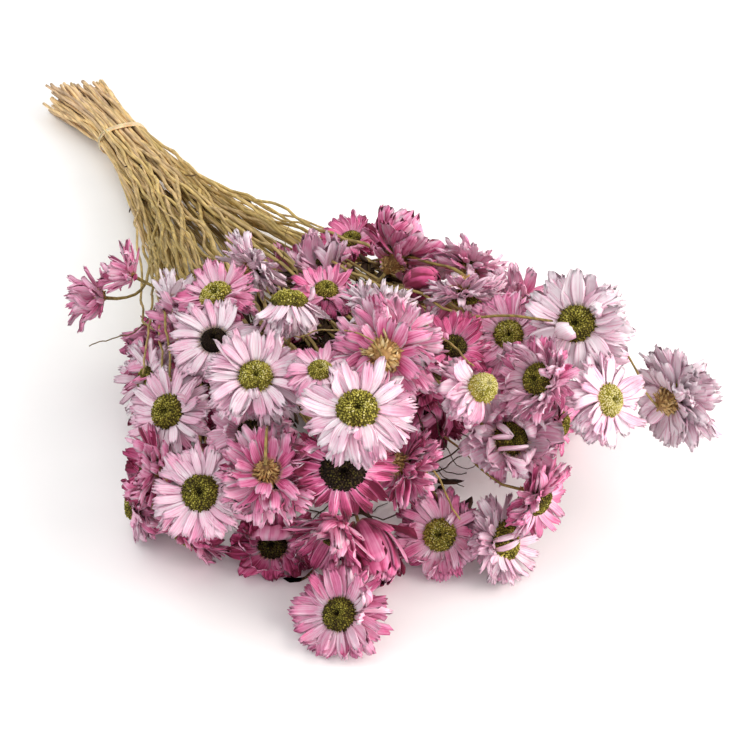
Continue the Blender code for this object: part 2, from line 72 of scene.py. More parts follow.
# ---- what each flower is like ---------------------------------------------------------
# One row a head, in the order of the CAD heads: its width across the rays in mm, its
# form, how pink it is (0 white, 1 magenta), how ripe its disc is (0 yellow green, 1 dark
# brown), how far its inner rays lift in degrees, and how untidy they are (0 to 1).
HEAD_LOOKS = (
    (42, "open", 0.55, 0.5, 14, 0.5),
    (26, "open", 0.30, 0.2, 0, 0.4),
    (40, "open", 0.09, 0.25, 8, 0.5),
    (34, "open", 0.00, 0.22, -38, 0.4),
    (41, "open", -0.04, 0.32, 12, 0.55),
    (38, "open", 0.11, 0.18, 16, 0.4),
    (33, "open", -0.12, 0.3, 44, 0.6),
    (28, "open", 0.70, 0.6, 34, 0.7),
    (30, "open", 0.16, 0.00, 0, 0.5),
    (28, "open", 0.55, 0.3, 20, 0.6),
    (36, "open", 0.28, 0.35, 34, 0.5),
    (34, "open", 0.36, 0.20, 22, 0.5),
    (34, "open", 0.12, 0.4, 16, 0.5),
    (36, "open", 0.08, 0.95, 8, 0.4),
    (34, "open", 0.42, 0.25, 20, 0.5),
    (32, "open", -0.02, 0.4, 26, 0.5),
    (35, "open", 0.06, 0.05, 6, 0.4),
    (42, "open", -0.10, 0.1, 18, 0.35),
    # Head 19 lies in the shade of the head beside it, and its pink is raised as painted
    # shade.
    (38, "open", 0.95, 0.85, 0, 0.4),
    (40, "cup", 0.80, 0.6, 24, 0.5),
    (34, "open", 0.26, 0.4, 26, 0.6),
    (34, "open", 0.44, 0.45, 22, 0.5),
    (38, "open", 0.66, 0.5, 16, 0.6),
    (34, "open", 0.24, 0.7, 14, 0.5),
    (36, "open", 0.16, 0.38, 16, 0.5),
    (36, "open", 0.12, 0.32, 14, 0.4),
    (36, "cup", 0.20, 0.4, 14, 0.7),
    (28, "open", 0.60, 0.4, 24, 0.5),
    (32, "open", 0.90, 0.5, 30, 0.7),
    (32, "cup", 0.40, 0.5, 18, 0.6),
    (30, "cup", 0.80, 0.5, 18, 0.6),
    (34, "open", 0.02, 0.4, 20, 0.5),
    (34, "open", 0.40, 0.4, 22, 0.5),
    (34, "open", 0.40, 0.4, 20, 0.5),
    (34, "open", 0.42, 0.4, 18, 0.5),
    (34, "open", 0.45, 0.4, 18, 0.5),
    (34, "open", 0.62, 0.4, 18, 0.6),
    (32, "open", 0.22, 0.3, -6, 0.6),
    (36, "open", 0.10, 0.3, 14, 0.4),
    (34, "open", 0.50, 0.4, 18, 0.5),
    (32, "open", 0.55, 0.4, 22, 0.5),
    (36, "open", 0.40, 0.2, 16, 0.35),
    (32, "open", 0.45, 0.4, 20, 0.5),
    (38, "open", 0.36, 0.45, 10, 0.5),
    (30, "cup", 0.50, 0.5, 18, 0.5),
    # Head 46 lies in shade, and its pink is raised as painted shade.
    (32, "cup", 0.88, 0.7, 12, 0.6),
)
# One row a half closed flower, which the CAD fuses with its spray: x, y and z from the
# tie in mm, heading and rise of its face in degrees, width in mm, pinkness, untidiness.
BUD_LOOKS = (
    (28, -281, 50, -90, 55, 16, 1.55, 0.0),
    (-72, -204, 44, 140, 25, 16, 0.55, 0.8),
    (-60, -226, 41, 40, 25, 15, -0.6, 0.6),
    (-65, -244, 39, -175, 45, 20, 0.30, 0.6),
    (12, -223, 36, -175, 80, 22, 0.20, 0.5),
    (3, -340, 32, -90, -25, 24, 1.00, 0.7),
    (-85, -192, 29, 160, 10, 19, 0.55, 0.8),
    (41, -280, 24, -60, 45, 22, 0.65, 0.6),
    (36, -315, 18, -65, 40, 22, 0.65, 0.6),
    (-69, -216, 14, -165, 10, 20, 0.50, 0.6),
    (10, -194, 14, -155, 65, 22, 0.40, 0.6),
    (-58, -369, 12, -150, -20, 22, 0.60, 0.6),
    (-40, -369, -3, -140, 55, 22, 1.00, 0.2),
)
# Discs that are wider or narrower than usual, as parts of the usual width.
DISC_LOOKS = {3: 1.04, 4: 1.15, 6: 0.93, 12: 1.15, 14: 0.78, 19: 1.18, 25: 1.08, 26: 1.12,
              39: 1.25, 42: 1.06, 44: 0.96}
# Heads that sit a little off their CAD place, in mm.
SHIFTS = {47: (-2, -9, 8), 19: (0, 0, 3), 26: (-1, 0, 0), 33: (4, -2, 1), 39: (-1, 0, 4),
          42: (-1, 0, 3), 44: (1, 0, 2)}
# Stems that leave the CAD branch to run lower through the bunch and come up behind their
# flower: places in mm from the tie, between the stalk and the foot of the flower.
ROUTES = {
    1: ((-26, -121, 24), (-36, -200, 38), (-43, -270, 50), (-43, -319, 64),
        (-41, -334, 77), (-38, -349, 88), (-35, -361, 91)),
    5: ((14, -100, 20), (13, -180, 28), (13, -249, 42), (16, -314, 61), (22, -334, 69),
        (32, -347, 73), (42, -356, 73)),
    13: ((14, -100, 18), (22, -170, 30), (30, -225, 42), (35, -266, 52), (37, -292, 64)),
    18: ((22, -122, 14), (30, -190, 26), (42, -260, 38), (56, -315, 46), (70, -352, 53),
         (71, -376, 57), (70, -384, 50)),
    23: ((-20, -119, 16), (-40, -200, 26), (-55, -280, 34), (-62, -315, 42),
         (-69, -339, 51), (-78, -360, 62)),
}
# Shoots and straws that lie apart: the spray they belong to, their thickness in mm,
# whether they are wiry (1) or straw (0), and their places in mm from the tie.
APART = (
    (9, 1.1, 0.05, ((-3, -318, 74), (-4, -335, 77), (-4, -350, 79), (-3, -363, 79),
                    (0, -369, 76), (3, -369, 71))),
    (5, 0.8, 0.6, ((-60, -205, 24), (-78, -225, 28), (-87, -227, 29), (-95, -229, 30),
                   (-101, -230, 31))),
    (7, 0.7, 1.0, ((-2, -320, 38), (-9, -357, 35), (-6, -356, 26), (-4, -359, 20),
                   (2, -361, 15), (6, -363, 16))),
    (7, 0.6, 1.0, ((4, -322, 38), (-3, -355, 36), (0, -356, 26), (3, -358, 19),
                   (8, -361, 16), (11, -362, 18))),
    (2, 0.7, 1.0, ((-2, -318, 20), (-5, -352, 26), (-4, -356, 16), (2, -358, 10),
                   (5, -362, 8))),
    (2, 0.6, 1.0, ((-4, -320, 16), (-5, -348, 24), (-6, -352, 15), (-6, -359, 6))),
    (7, 1.2, 0.0, ((-16, -310, 36), (-20, -350, 42), (-17, -368, 36), (-13, -375, 26),
                   (-13, -389, 18))),
    (2, 1.1, 0.1, ((-12, -310, 18), (-17, -340, 30), (-14, -359, 28), (-10, -361, 16),
                   (-7, -362, 6))),
    (5, 1.5, 0.0, ((-44, -157, 28), (-56, -190, 31), (-69, -222, 34), (-79, -241, 31),
                   (-86, -253, 25))),
    (5, 1.6, 0.0, ((-41, -159, 30), (-56, -198, 33), (-71, -244, 43), (-76, -260, 36),
                   (-80, -270, 29))),
    (5, 1.3, 0.0, ((-39, -163, 31), (-52, -199, 35), (-66, -240, 43), (-71, -257, 40))),
    (5, 1.5, 0.0, ((-45, -163, 30), (-59, -205, 35), (-72, -239, 38), (-78, -256, 32),
                   (-82, -269, 25))),
    (5, 1.2, 0.0, ((-37, -166, 31), (-48, -203, 37), (-59, -239, 47))),
    (8, 0.5, 0.5, ((30, -240, 36), (41, -265, 42), (41, -270, 51), (45, -274, 55),
                   (52, -275, 51))),
    (7, 0.5, 0.5, ((-6, -190, 22), (-2, -214, 38), (3, -206, 46), (7, -204, 48),
                   (10, -206, 46))),
)
# How high the back of each form of head lies above the middle of its rays, and how high
# the face of a bud does, as parts of its width and as in the CAD.
FOOT = {"open": -0.24, "cup": -0.28, "bud": -0.45, "ball": -0.45, "tulip": -0.45}
BUD_CROWN = 0.56
# The tips of rays: how much shorter each column of a ray is than the longest, for rays
# with three teeth, with two, and with one point.
TEETH = ((-0.16, -0.03, -0.08, 0.0, -0.09, -0.03, -0.15),
         (-0.17, -0.05, 0.0, -0.09, -0.01, -0.06, -0.16),
         (-0.20, -0.08, -0.02, 0.0, -0.03, -0.08, -0.20))

# Whorls of rays from the disc outwards.  Each is how many rays, their length and width
# as parts of the head's width, the radius and height of their feet, how much lower they
# lie than the innermost in degrees, their upward curl along the way in degrees, and how
# much pinker they are, painted shade on the outer whorls that lie under the inner ones.
WHORLS = {
    "open": (
        (21, 0.355, 0.108, 0.150, 0.030, 0, -14, 0.00),
        (21, 0.396, 0.116, 0.145, 0.008, 8, -12, 0.05),
        (20, 0.402, 0.120, 0.135, -0.018, 17, -8, 0.12),
        (16, 0.360, 0.130, 0.118, -0.052, 31, 2, 0.22),
        (12, 0.285, 0.122, 0.100, -0.088, 44, 12, 0.30),
    ),
    "cup": (
        (11, 0.420, 0.200, 0.160, 0.020, 0, 56, 0.00),
        (12, 0.440, 0.200, 0.160, 0.000, 6, 50, 0.03),
        (12, 0.430, 0.200, 0.150, -0.030, 14, 44, 0.05),
        (11, 0.380, 0.180, 0.130, -0.070, 24, 34, 0.08),
        (10, 0.290, 0.150, 0.110, -0.110, 36, 24, 0.10),
    ),
    "bud": (
        (10, 0.840, 0.230, 0.110, -0.250, 0, 40, 0.00),
        (10, 0.840, 0.240, 0.120, -0.280, 6, 34, 0.04),
        (10, 0.740, 0.240, 0.120, -0.310, 13, 30, 0.06),
        (9, 0.580, 0.220, 0.110, -0.350, 22, 30, 0.09),
        (8, 0.410, 0.200, 0.090, -0.390, 30, 30, 0.12),
    ),
}
BUD_LIFT = 62.0           # how far the rays of a bud lift, in degrees
BUD_SLACK = 22            # and how much less those of an untidy one do
BUD_RIPE = 0.6            # how ripe the disc of a bud is
BUD_RINGS = 6             # rings of corners on a CAD bud, before its branch starts
SHUT = {47: "ball", 59: "tulip"}  # buds that are still shut
# Shut buds: how long for their width, and their layers from the inside out.  Each layer
# is how many rays, how far round the egg they reach, half their width and their twist in
# radians, how far the layer stands off and how much its tips flare.
SHUT_LAYERS = {
    "ball": (1.15, ((4, 0.93, 0.95, 0.5, 0.00, 0.00), (4, 0.92, 0.90, 0.4, 0.05, 0.00),
                    (3, 0.84, 0.95, 0.3, 0.10, 0.00), (5, 0.40, 0.50, 0.1, 0.14, 0.00))),
    "tulip": (1.45, ((5, 0.92, 0.75, 0.4, 0.00, 0.00), (5, 0.84, 0.70, 0.3, 0.05, 0.03),
                     (4, 0.74, 0.75, 0.2, 0.10, 0.10), (6, 0.62, 0.34, 0.1, 0.14, 0.38),
                     (5, 0.46, 0.28, 0.0, 0.17, 0.60))),
}
SHUT_ROWS, SHUT_THICK = 12, 0.20 * MM  # points along their rays, and how thick they are
RAY_ROWS, RAY_COLUMNS = 6, 7  # points along and across a ray
# Flowers that have turned on their stems: the heading and rise that they face now.
TURNED = {12: (-165, 67), 44: (-152, 50), 39: (-57, 29), 47: (-43, 28), 59: (-95, -24)}
# Rays folded over the disc: their bearings in degrees and how broad they are.
FOLDS = {5: ((228, 1.5),), 27: ((94, 0.28), (134, 0.32), (176, 0.3), (216, 0.26)),
         39: ((146, 0.6), (170, 0.7)), 46: ((92, 2.0),)}
FOLDED = (66, 108, 10)    # their rise, curl and tip curl, in degrees
CURLS = {11: 50, 27: 15, 39: 12, 42: 42, 44: 14}  # more curl on these heads, in degrees
# Heads with wider or narrower rays than usual, as parts of the usual width.
RAY_LOOKS = {5: 1.3, 7: 0.68, 9: 1.95, 17: 1.25, 18: 1.3, 15: 1.4, 24: 1.4, 27: 1.15,
             19: 0.9, 42: 1.2, 46: 1.45}
SHED = {9: 178}           # a head with rays left only round this bearing, in degrees
SHED_WITHIN = 0.45        # and the least cosine of a ray's bearing from it
CALYX_LOOKS = {1: (1.25, 0.25), 23: (0.85, -0.35)}  # their size and how golden
DIMPLE = 0.9              # how much of its height a disc loses in its middle, and how much painted shade darkens its florets there
DISC_SIDES, CALYX_SIDES = 24, 14  # points round a disc and a calyx

THIN_STEMS = {1: 0.5, 5: 0.75, 18: 0.8, 33: 0.8}  # as parts of the usual thickness
STEM_POINTS, STEM_SIDES = 64, 7
STEM_JOINTS = 5           # places where a stem is a little wider
STALK_ROUND = 1.45 * MM   # a stem's middle lies this far from its stalk's middle
STALK_ENDS = 62 * MM      # the stems of a stalk part about this far ahead of the tie
HELD_NEAR = 22 * MM       # and hold still this close to the tie
TURNS_OVER = 140 * MM     # they turn round each other by one radian over this length
WAVE = 85 * MM            # length of a stem's longest waves
CALM_BEHIND = 35 * MM     # the waves die out over this length behind a head
STRAYS_OVER = 175 * MM    # between the tie and this far ahead a stem strays sideways
STRAYS = np.array((5.5, 0, 3.0)) * MM  # and about this far, across, along and up
CUT_BEHIND = 79 * MM      # the cut ends lie this far behind the tie,
CUT_RAGGED = (-5, 4)      # each longer or shorter by so much, in mm,
CUT_SPREAD = (2.2, 1.2)   # and spread sideways and upward by so much
SPARE_REACH = (215, 335)  # spare stems end this far ahead of the tie, in mm
SPARE_LEAST = 24          # and keep at least so many points
SPARE_SINK = 0.55         # how much of its height a spare stem loses at its end
SPARE_BUDS = (13, 22)     # widths of their small buds, in mm
HEAP_STARTS = 200 * MM    # the flowers start this far ahead of the tie
HEAP_RAGGED = np.array((0, 60)) * MM  # and the leaves of a stem start so much later
HEAP_TOP = 46 * MM        # leaves and shoots stay below this height
HEAP_HALF = 66 * MM       # and this close to the middle
LEAF_SINK = 0.6           # how much of its height over the stem a leaf loses
LEAF_THICK = 0.3 * MM     # thickness of a leaf
BARE_LEAVES = 0.08        # share of the stems with a leaf on their bare part
SHOOT_POINTS, STRAW_POINTS = 12, 30
SHOOT_SIDES = 5           # points round a side shoot or a straw

BAND_POINTS, BAND_SIDES = 112, 10  # round its two turns, and round its section
BAND_INSET = 0.7 * MM     # its middle line lies this far inside the CAD band
BAND_POWER = 2 / 2.6      # how square its turns are
FLOOR_GRID = np.linspace(-3, 3, 13)  # the corners of the floor along each side, in m
# Lamps: their name, place in m, size in m, share of the main light and colour.
LAMPS = (("key", (-0.45, 0.30, 1.40), 1.5, 1.0, "fffcf8"),
         ("fill", (0.95, -1.05, 0.70), 1.2, 2.80, "fff1ea"),
         ("bounce", (0.1, -1.5, 0.30), 1.4, 0.45, "fff7f5"))
LAMP_AIM = (0.0, -0.12, 0.03)
CAMERA_AHEAD = 0.297      # the camera aims this far ahead of the tie
CAMERA_AIM_HEIGHT = 0.040  # and this high


# ---- small helpers --------------------------------------------------------------------
def linear(code):
    """A six figure sRGB colour such as "f3d0df" as linear red, green, blue and alpha."""
    part = np.array([int(code[k:k + 2], 16) for k in (0, 2, 4)]) / 255
    high = ((part + 0.055) / 1.055) ** 2.4
    return (*np.where(part <= 0.04045, part / 12.92, high).tolist(), 1.0)


def unit(vectors):
    """Each row of an array, made one long."""
    length = np.linalg.norm(vectors, axis=-1, keepdims=True)
    return vectors / np.maximum(length, 1e-12)


def pointing(heading, rise):
    """One long in the direction of a heading and a rise, both in degrees."""
    heading, rise = math.radians(heading), math.radians(rise)
    return np.array((math.cos(heading) * math.cos(rise),
                     math.sin(heading) * math.cos(rise), math.sin(rise)))


def in_frame(points, start, one, two, three):
    """Points given along three ways from a start, put in place."""
    return (start + points[..., :1] * one + points[..., 1:2] * two
            + points[..., 2:] * three)


def from_tie(places):
    """Places given in mm from the tie, in metres."""
    return TIE + np.array(places) * MM


def shift_of(number):
    """How far a flower sits off its CAD place, in metres."""
    return np.array(SHIFTS.get(number, (0, 0, 0))) * MM


def drawing(kind, number):
    """The random draws of one piece, the same on every run."""
    return np.random.default_rng((SEED, DRAWS.index(kind) + 1, number))


def welded(node):
    """A node's corners in metres and its triangles, with doubled corners made one."""
    mesh = node.data
    place = np.empty(len(mesh.vertices) * 3, np.float32)
    mesh.vertices.foreach_get("co", place)
    place = place.reshape(-1, 3).astype(float)
    corner = np.empty(len(mesh.loops), np.int32)
    mesh.loops.foreach_get("vertex_index", corner)
    keys = np.round(place / WELD).astype(int)
    _, first, same = np.unique(keys, axis=0, return_index=True, return_inverse=True)
    return place[first], same.ravel()[corner].reshape(-1, 3)


def touching(count, triangles):
    """A square table that says which corners share an edge."""
    near = np.zeros((count, count), bool)
    for one, other in ((0, 1), (1, 2), (2, 0)):
        near[triangles[:, one], triangles[:, other]] = True
    return near | near.T


def ring_middles(points, near, seed, widest, free=0):
    """Middles and sizes of the rings met on the way from the seed corners along a tube.

    Each ring is all corners next to the last one that are not yet seen; the walk ends
    at the first ring with more than `widest` corners, where the tube joins another.
    The first `free` rings may be wider.
    """
    seen = np.zeros(len(points), bool)
    seen[seed] = True
    ring = seen.copy()
    middles, sizes = [], []
    while True:
        middles.append(points[ring].mean(0))
        sizes.append(int(ring.sum()))
        ring = near[ring].any(0) & ~seen
        if not ring.any() or (ring.sum() > widest and len(sizes) > free):
            return np.array(middles), np.array(sizes)
        seen |= ring


# ---- where the CAD puts the flowers and their stems -----------------------------------
class Flower:
    """One flower: its middle, its axis, the two ways across it, and how it looks."""

    def __init__(self, number, look, middle, axis, nodes=()):
        self.number = number
        across, self.form, self.pink, self.ripe, self.lift, self.untidy = look
        self.across = across * MM
        self.is_open = self.form in ("open", "cup")
        self.is_small = number > len(HEAD_LOOKS) + len(BUD_LOOKS)
        self.middle = middle
        self.axis = unit(axis)
        level = (1, 0, 0) if abs(self.axis[2]) > 0.9 else (0, 0, 1)
        self.side = unit(np.cross(level, self.axis))
        self.up = np.cross(self.axis, self.side)
        self.foot = middle + self.axis * FOOT[self.form] * self.across
        self.disc = DISC_LOOKS.get(number, 1.0)
        self.calyx, self.golden = CALYX_LOOKS.get(number, (1.0, 0.0))
        self.nodes = nodes
        self.spray = None
        self.path = None

    def placed(self, points):
        """Points in the flower's own frame, put in place."""
        return in_frame(points, self.middle, self.side, self.up, self.axis)


def read_heads():
    """The open flowers: foot and crown are the two corners where most edges meet."""
    found = []
    for number, (name, look) in enumerate(zip(HEADS, HEAD_LOOKS), 1):
        points, triangles = welded(NODES[name])
        near = touching(len(points), triangles)
        poles = np.argsort(np.bincount(triangles.ravel(), minlength=len(points)))[-2:]
        reach = [np.linalg.norm(points[near[pole]] - points[pole], axis=1).mean()
                 for pole in poles]
        foot, crown = points[poles[np.argsort(reach)]]
        axis = unit(crown - foot)
        middle = foot - axis * FOOT[look[1]] * look[0] * MM + shift_of(number)
        if number in TURNED:
            axis = pointing(*TURNED[number])
        found.append(Flower(number, look, middle, axis, [name]))
    return found


def nearest(sprays, spot, count, shift=0.0, edges=0):
    """The spray with the `count` corners nearest a spot, and their numbers.

    Only corners where at least `edges` edges meet are looked at, unless there are none.
    """
    found = []
    for name, (points, near, _) in sprays.items():
        away = np.linalg.norm(points + shift - spot, axis=1) + (near.sum(1) < edges)
        cap = np.argsort(away)[:count]
        found.append((away[cap].max(), name, cap))
    return min(found, key=lambda item: item[0])[1:]


def read_sprays(flowers):
    """Give each flower its spray, the middle line of its stem, and add the buds.

    A stem's line runs from the cut end up the stalk and on along the branch, which is
    walked back from its end behind the head.  A bud is found by its crown, a corner
    where eight or more edges meet, near the place that its row gives.
    """
    sprays = {}
    for name in SPRAYS:
        points, triangles = welded(NODES[name])
        near = touching(len(points), triangles)
        top = np.argsort(-points[:, 1])[:CAD_SIDES]
        stalk, _ = ring_middles(points, near, top, CAD_SIDES)
        sprays[name] = (points, near, stalk)

    for flower in flowers:
        flower.spray, cap = nearest(sprays, flower.foot, CAD_SIDES,
                                    shift_of(flower.number))
        points, near, stalk = sprays[flower.spray]
        branch = ring_middles(points, near, cap, CAD_SIDES)[0][::-1]
        if flower.number in ROUTES:
            branch = from_tie(ROUTES[flower.number])
        flower.path = np.vstack((stalk, branch, flower.foot))

    buds = []
    for number, row in enumerate(BUD_LOOKS, len(flowers) + 1):
        *place, heading, rise, across, pink, untidy = row
        crown = pointing(heading, rise) * BUD_CROWN * across * MM
        name, top = nearest(sprays, from_tie(place) + crown, 1, edges=8)
        points, near, stalk = sprays[name]
        look = (across, SHUT.get(number, "bud"), pink, BUD_RIPE,
                BUD_LIFT - BUD_SLACK * untidy, untidy)
        bud = Flower(number, look, points[top[0]] - crown + shift_of(number),
                     pointing(*TURNED.get(number, (heading, rise))), [name])
        bud.spray = name
        line, corners = ring_middles(points, near, top, CAD_SIDES + 1, BUD_RINGS + 2)
        branch = line[BUD_RINGS:][corners[BUD_RINGS:] <= CAD_SIDES + 1]
        if number in TURNED:
            branch = branch[2:]
        bud.path = np.vstack((stalk, branch[::-1], bud.foot))
        buds.append(bud)
    return flowers + buds


FLOWERS = read_sprays(read_heads())


# ---- meshes from arrays ---------------------------------------------------------------
class Surfaces:
    """Gathers closed surfaces, with a value or two for each face, into one mesh."""

    def __init__(self):
        self.points = []
        self.faces = []
        self.maps = []
        self.values = {}
        self.count = 0

    def add(self, points, parts, **values):
        """Points (surfaces, corners, 3), and parts of faces, their map and their values.

        A part's faces are (faces, corners of a face), its map (faces, corners, 2) or
        None, and its own values one for each face; `values` are one for each surface.
        """
        copies, corners = points.shape[:2]
        shift = np.arange(copies)[:, None, None] * corners + self.count
        values = {name: np.reshape(value, (-1, 1)) for name, value in values.items()}
        for faces, places, own in parts:
            self.faces.append((faces[None] + shift).reshape(-1, faces.shape[1]))
            if places is None:
                places = np.zeros(faces.shape + (2,))
            self.maps.append(np.broadcast_to(places, (copies,) + places.shape)
                             .reshape(-1, 2))
            for name, value in {**own, **values}.items():
                whole = np.broadcast_to(value, (copies, len(faces)))
                self.values.setdefault(name, []).append(whole.reshape(-1))
        self.points.append(points.reshape(-1, 3))
        self.count += copies * corners

    def mesh(self, name, smooth):
        """One mesh of all that was added."""
        made = bpy.data.meshes.new(name)
        points = above_floor(np.concatenate(self.points))
        made.vertices.add(len(points))
        made.vertices.foreach_set("co", points.astype(np.float32).ravel())
        sizes = np.concatenate([np.full(len(part), part.shape[1]) for part in self.faces])
        corners = np.concatenate([part.ravel() for part in self.faces])
        made.loops.add(len(corners))
        made.loops.foreach_set("vertex_index", corners.astype(np.int32))
        made.polygons.add(len(sizes))
        starts = np.concatenate(((0,), np.cumsum(sizes)[:-1]))
        made.polygons.foreach_set("loop_start", starts.astype(np.int32))
        made.update(calc_edges=True)
        layer = made.uv_layers.new(name=MAP_NAME)
        layer.uv.foreach_set("vector",
                             np.concatenate(self.maps).astype(np.float32).ravel())
        for value, parts in self.values.items():
            layer = made.attributes.new(value, "FLOAT", "FACE")
            layer.data.foreach_set("value", np.concatenate(parts).astype(np.float32))
        made.polygons.foreach_set("use_smooth", np.full(len(sizes), smooth))
        made.validate()
        return made


def above_floor(points):
    """Press what would lie below the floor flat against it.

    Heights from the lowest up to BENT are squeezed evenly into the room between CLEAR
    and BENT, so layers stay in order and nothing else moves.
    """
    low = points[:, 2].min()
    if low >= CLEAR:
        return points
    squeezed = CLEAR + (points[:, 2] - low) * (BENT - CLEAR) / (BENT - low)
    points[:, 2] = np.where(points[:, 2] < BENT, squeezed, points[:, 2])
    return points


def add_piece(made, name, material, nodes, smooth=True):
    """A piece of the bunch that rides on it and stands for CAD nodes."""
    mesh = made.mesh(name, smooth)
    mesh.materials.append(material)
    piece = bpy.data.objects.new(name, mesh)
    bpy.context.scene.collection.objects.link(piece)
    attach(piece, "root")
    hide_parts(*nodes)


def quads(grid):
    """Four sided faces between the rows and columns of a grid of point numbers."""
    return np.stack((grid[:-1, :-1], grid[:-1, 1:], grid[1:, 1:], grid[1:, :-1]),
                    axis=-1).reshape(-1, 4)


def ring_faces(rows, sides, start, first, last):
    """Faces of rings joined up: triangles from the two end points, and the walls."""
    grid = start + np.arange(rows * sides).reshape(rows, sides)
    grid = np.pad(grid, ((0, 0), (0, 1)), "wrap")
    ends = ((first, grid[0, 1:], grid[0, :-1]), (last, grid[-1, :-1], grid[-1, 1:]))
    ends = [np.stack((np.full(sides, tip), one, two), axis=1) for tip, one, two in ends]
    return np.concatenate(ends), quads(grid)


def sheet_pattern(rows, columns):
    """The one part of a closed thin sheet: its faces, their map and which are in front.

    The front is a grid of rows by columns.  The back is another that shares its border,
    so only the inner points of the back are added after those of the front.
    """
    front = np.arange(rows * columns).reshape(rows, columns)
    back = front.copy()
    inner = (rows - 2) * (columns - 2)
    back[1:-1, 1:-1] = rows * columns + np.arange(inner).reshape(rows - 2, columns - 2)
    flat = quads(front)
    faces = np.concatenate((flat, quads(back)[:, ::-1]))
    place = np.stack(np.meshgrid(np.linspace(0, 1, columns), np.linspace(0, 1, rows)),
                     axis=-1)
    places = place.reshape(-1, 2)[np.concatenate((flat, flat[:, ::-1]))]
    return faces, places, {"front": np.repeat((1.0, 0.0), len(flat))}


def both_sides(front, back):
    """The points of sheets: all of the front ones, and the inner ones of the back."""
    return np.concatenate((front.reshape(len(front), -1, 3),
                           back[:, 1:-1, 1:-1].reshape(len(front), -1, 3)), 1)


def bent_sheets(length, width, rise, curl, tip_curl, cup, pleat, roll, sway, teeth,
                thickness, rows, base_width, taper, blunt=0.20):
    """Points of thin pointed sheets in their own frames, one for each row of the inputs.

    A place on a sheet is given by u from foot to tip and v from -1 to 1 across.  The
    middle line leaves at the angle `rise` and bends by `curl` and, nearer the tip, by
    `tip_curl`, so its angle at u is rise + curl u + tip_curl u^3; the line is the
    running sum of that direction.  Half the width at u is a sine from base_width up to
    1 at 0.6 and a parabola down by `taper` to the tip.  Each column's length is shorter
    by blunt |v|^2.2 and by its tooth.  A column stands off the line by cup (v^2 - 1/3)
    and by pleat cos(3 pi v), the cross section is rolled, and the whole sways sideways
    by sway u^2.  Returns (sheets, points, 3) as across, along and up.
    """
    u = np.linspace(0, 1, rows)[None, :, None]
    v = np.linspace(-1, 1, teeth.shape[1])[None, None, :]
    length, width, rise, curl, tip_curl, cup, pleat, roll, sway = (
        part[:, None, None]
        for part in (length, width, rise, curl, tip_curl, cup, pleat, roll, sway))
    reach = 1 - blunt * abs(v) ** 2.2 + teeth[:, None, :]
    step = np.diff(u, axis=1, prepend=0) * length * reach
    mid = u - np.diff(u, axis=1, prepend=0) / 2
    turn = rise + curl * mid + tip_curl * mid ** 3
    along = np.cumsum(step * np.cos(turn), axis=1)
    height = np.cumsum(step * np.sin(turn), axis=1)
    angle = rise + curl * u + tip_curl * u ** 3
    swell = base_width + (1 - base_width) * np.sin(np.pi / 2 * np.minimum(u / 0.6, 1))
    swell = swell - taper * np.maximum((u - 0.6) / 0.4, 0) ** 2
    off = cup * (v ** 2 - 1 / 3) * swell
    off = off + pleat * np.cos(3 * np.pi * v) * np.minimum(u / 0.25, 1)
    side = v * swell * width / 2
    turned = roll * (0.3 + 0.7 * u)
    middle = thickness / 2 * (1 - v ** 2) * np.minimum(4 * (1 - u) + 0.15, 1)

    def placed(lift):
        lifted = off + lift
        x = side * np.cos(turned) - lifted * np.sin(turned) + sway * u ** 2
        up = side * np.sin(turned) + lifted * np.cos(turned)
        return np.stack(np.broadcast_arrays(
            x, along - up * np.sin(angle), height + up * np.cos(angle)), axis=-1)

    return both_sides(placed(middle), placed(-middle))


def stand_round(flower, sheets, turn, radius, height):
    """Set sheets round a flower's axis, their feet at a radius and height from it.

    A sheet's across, along and up become the way round, the way out and the axis.
    """
    foot = np.stack((np.zeros_like(radius), radius, height), axis=-1)
    turn = turn[:, None, None]
    out = flower.side * np.cos(turn) + flower.up * np.sin(turn)
    way = flower.side * np.sin(turn) - flower.up * np.cos(turn)
    return in_frame(sheets + foot[:, None], flower.middle, way, out, flower.axis)


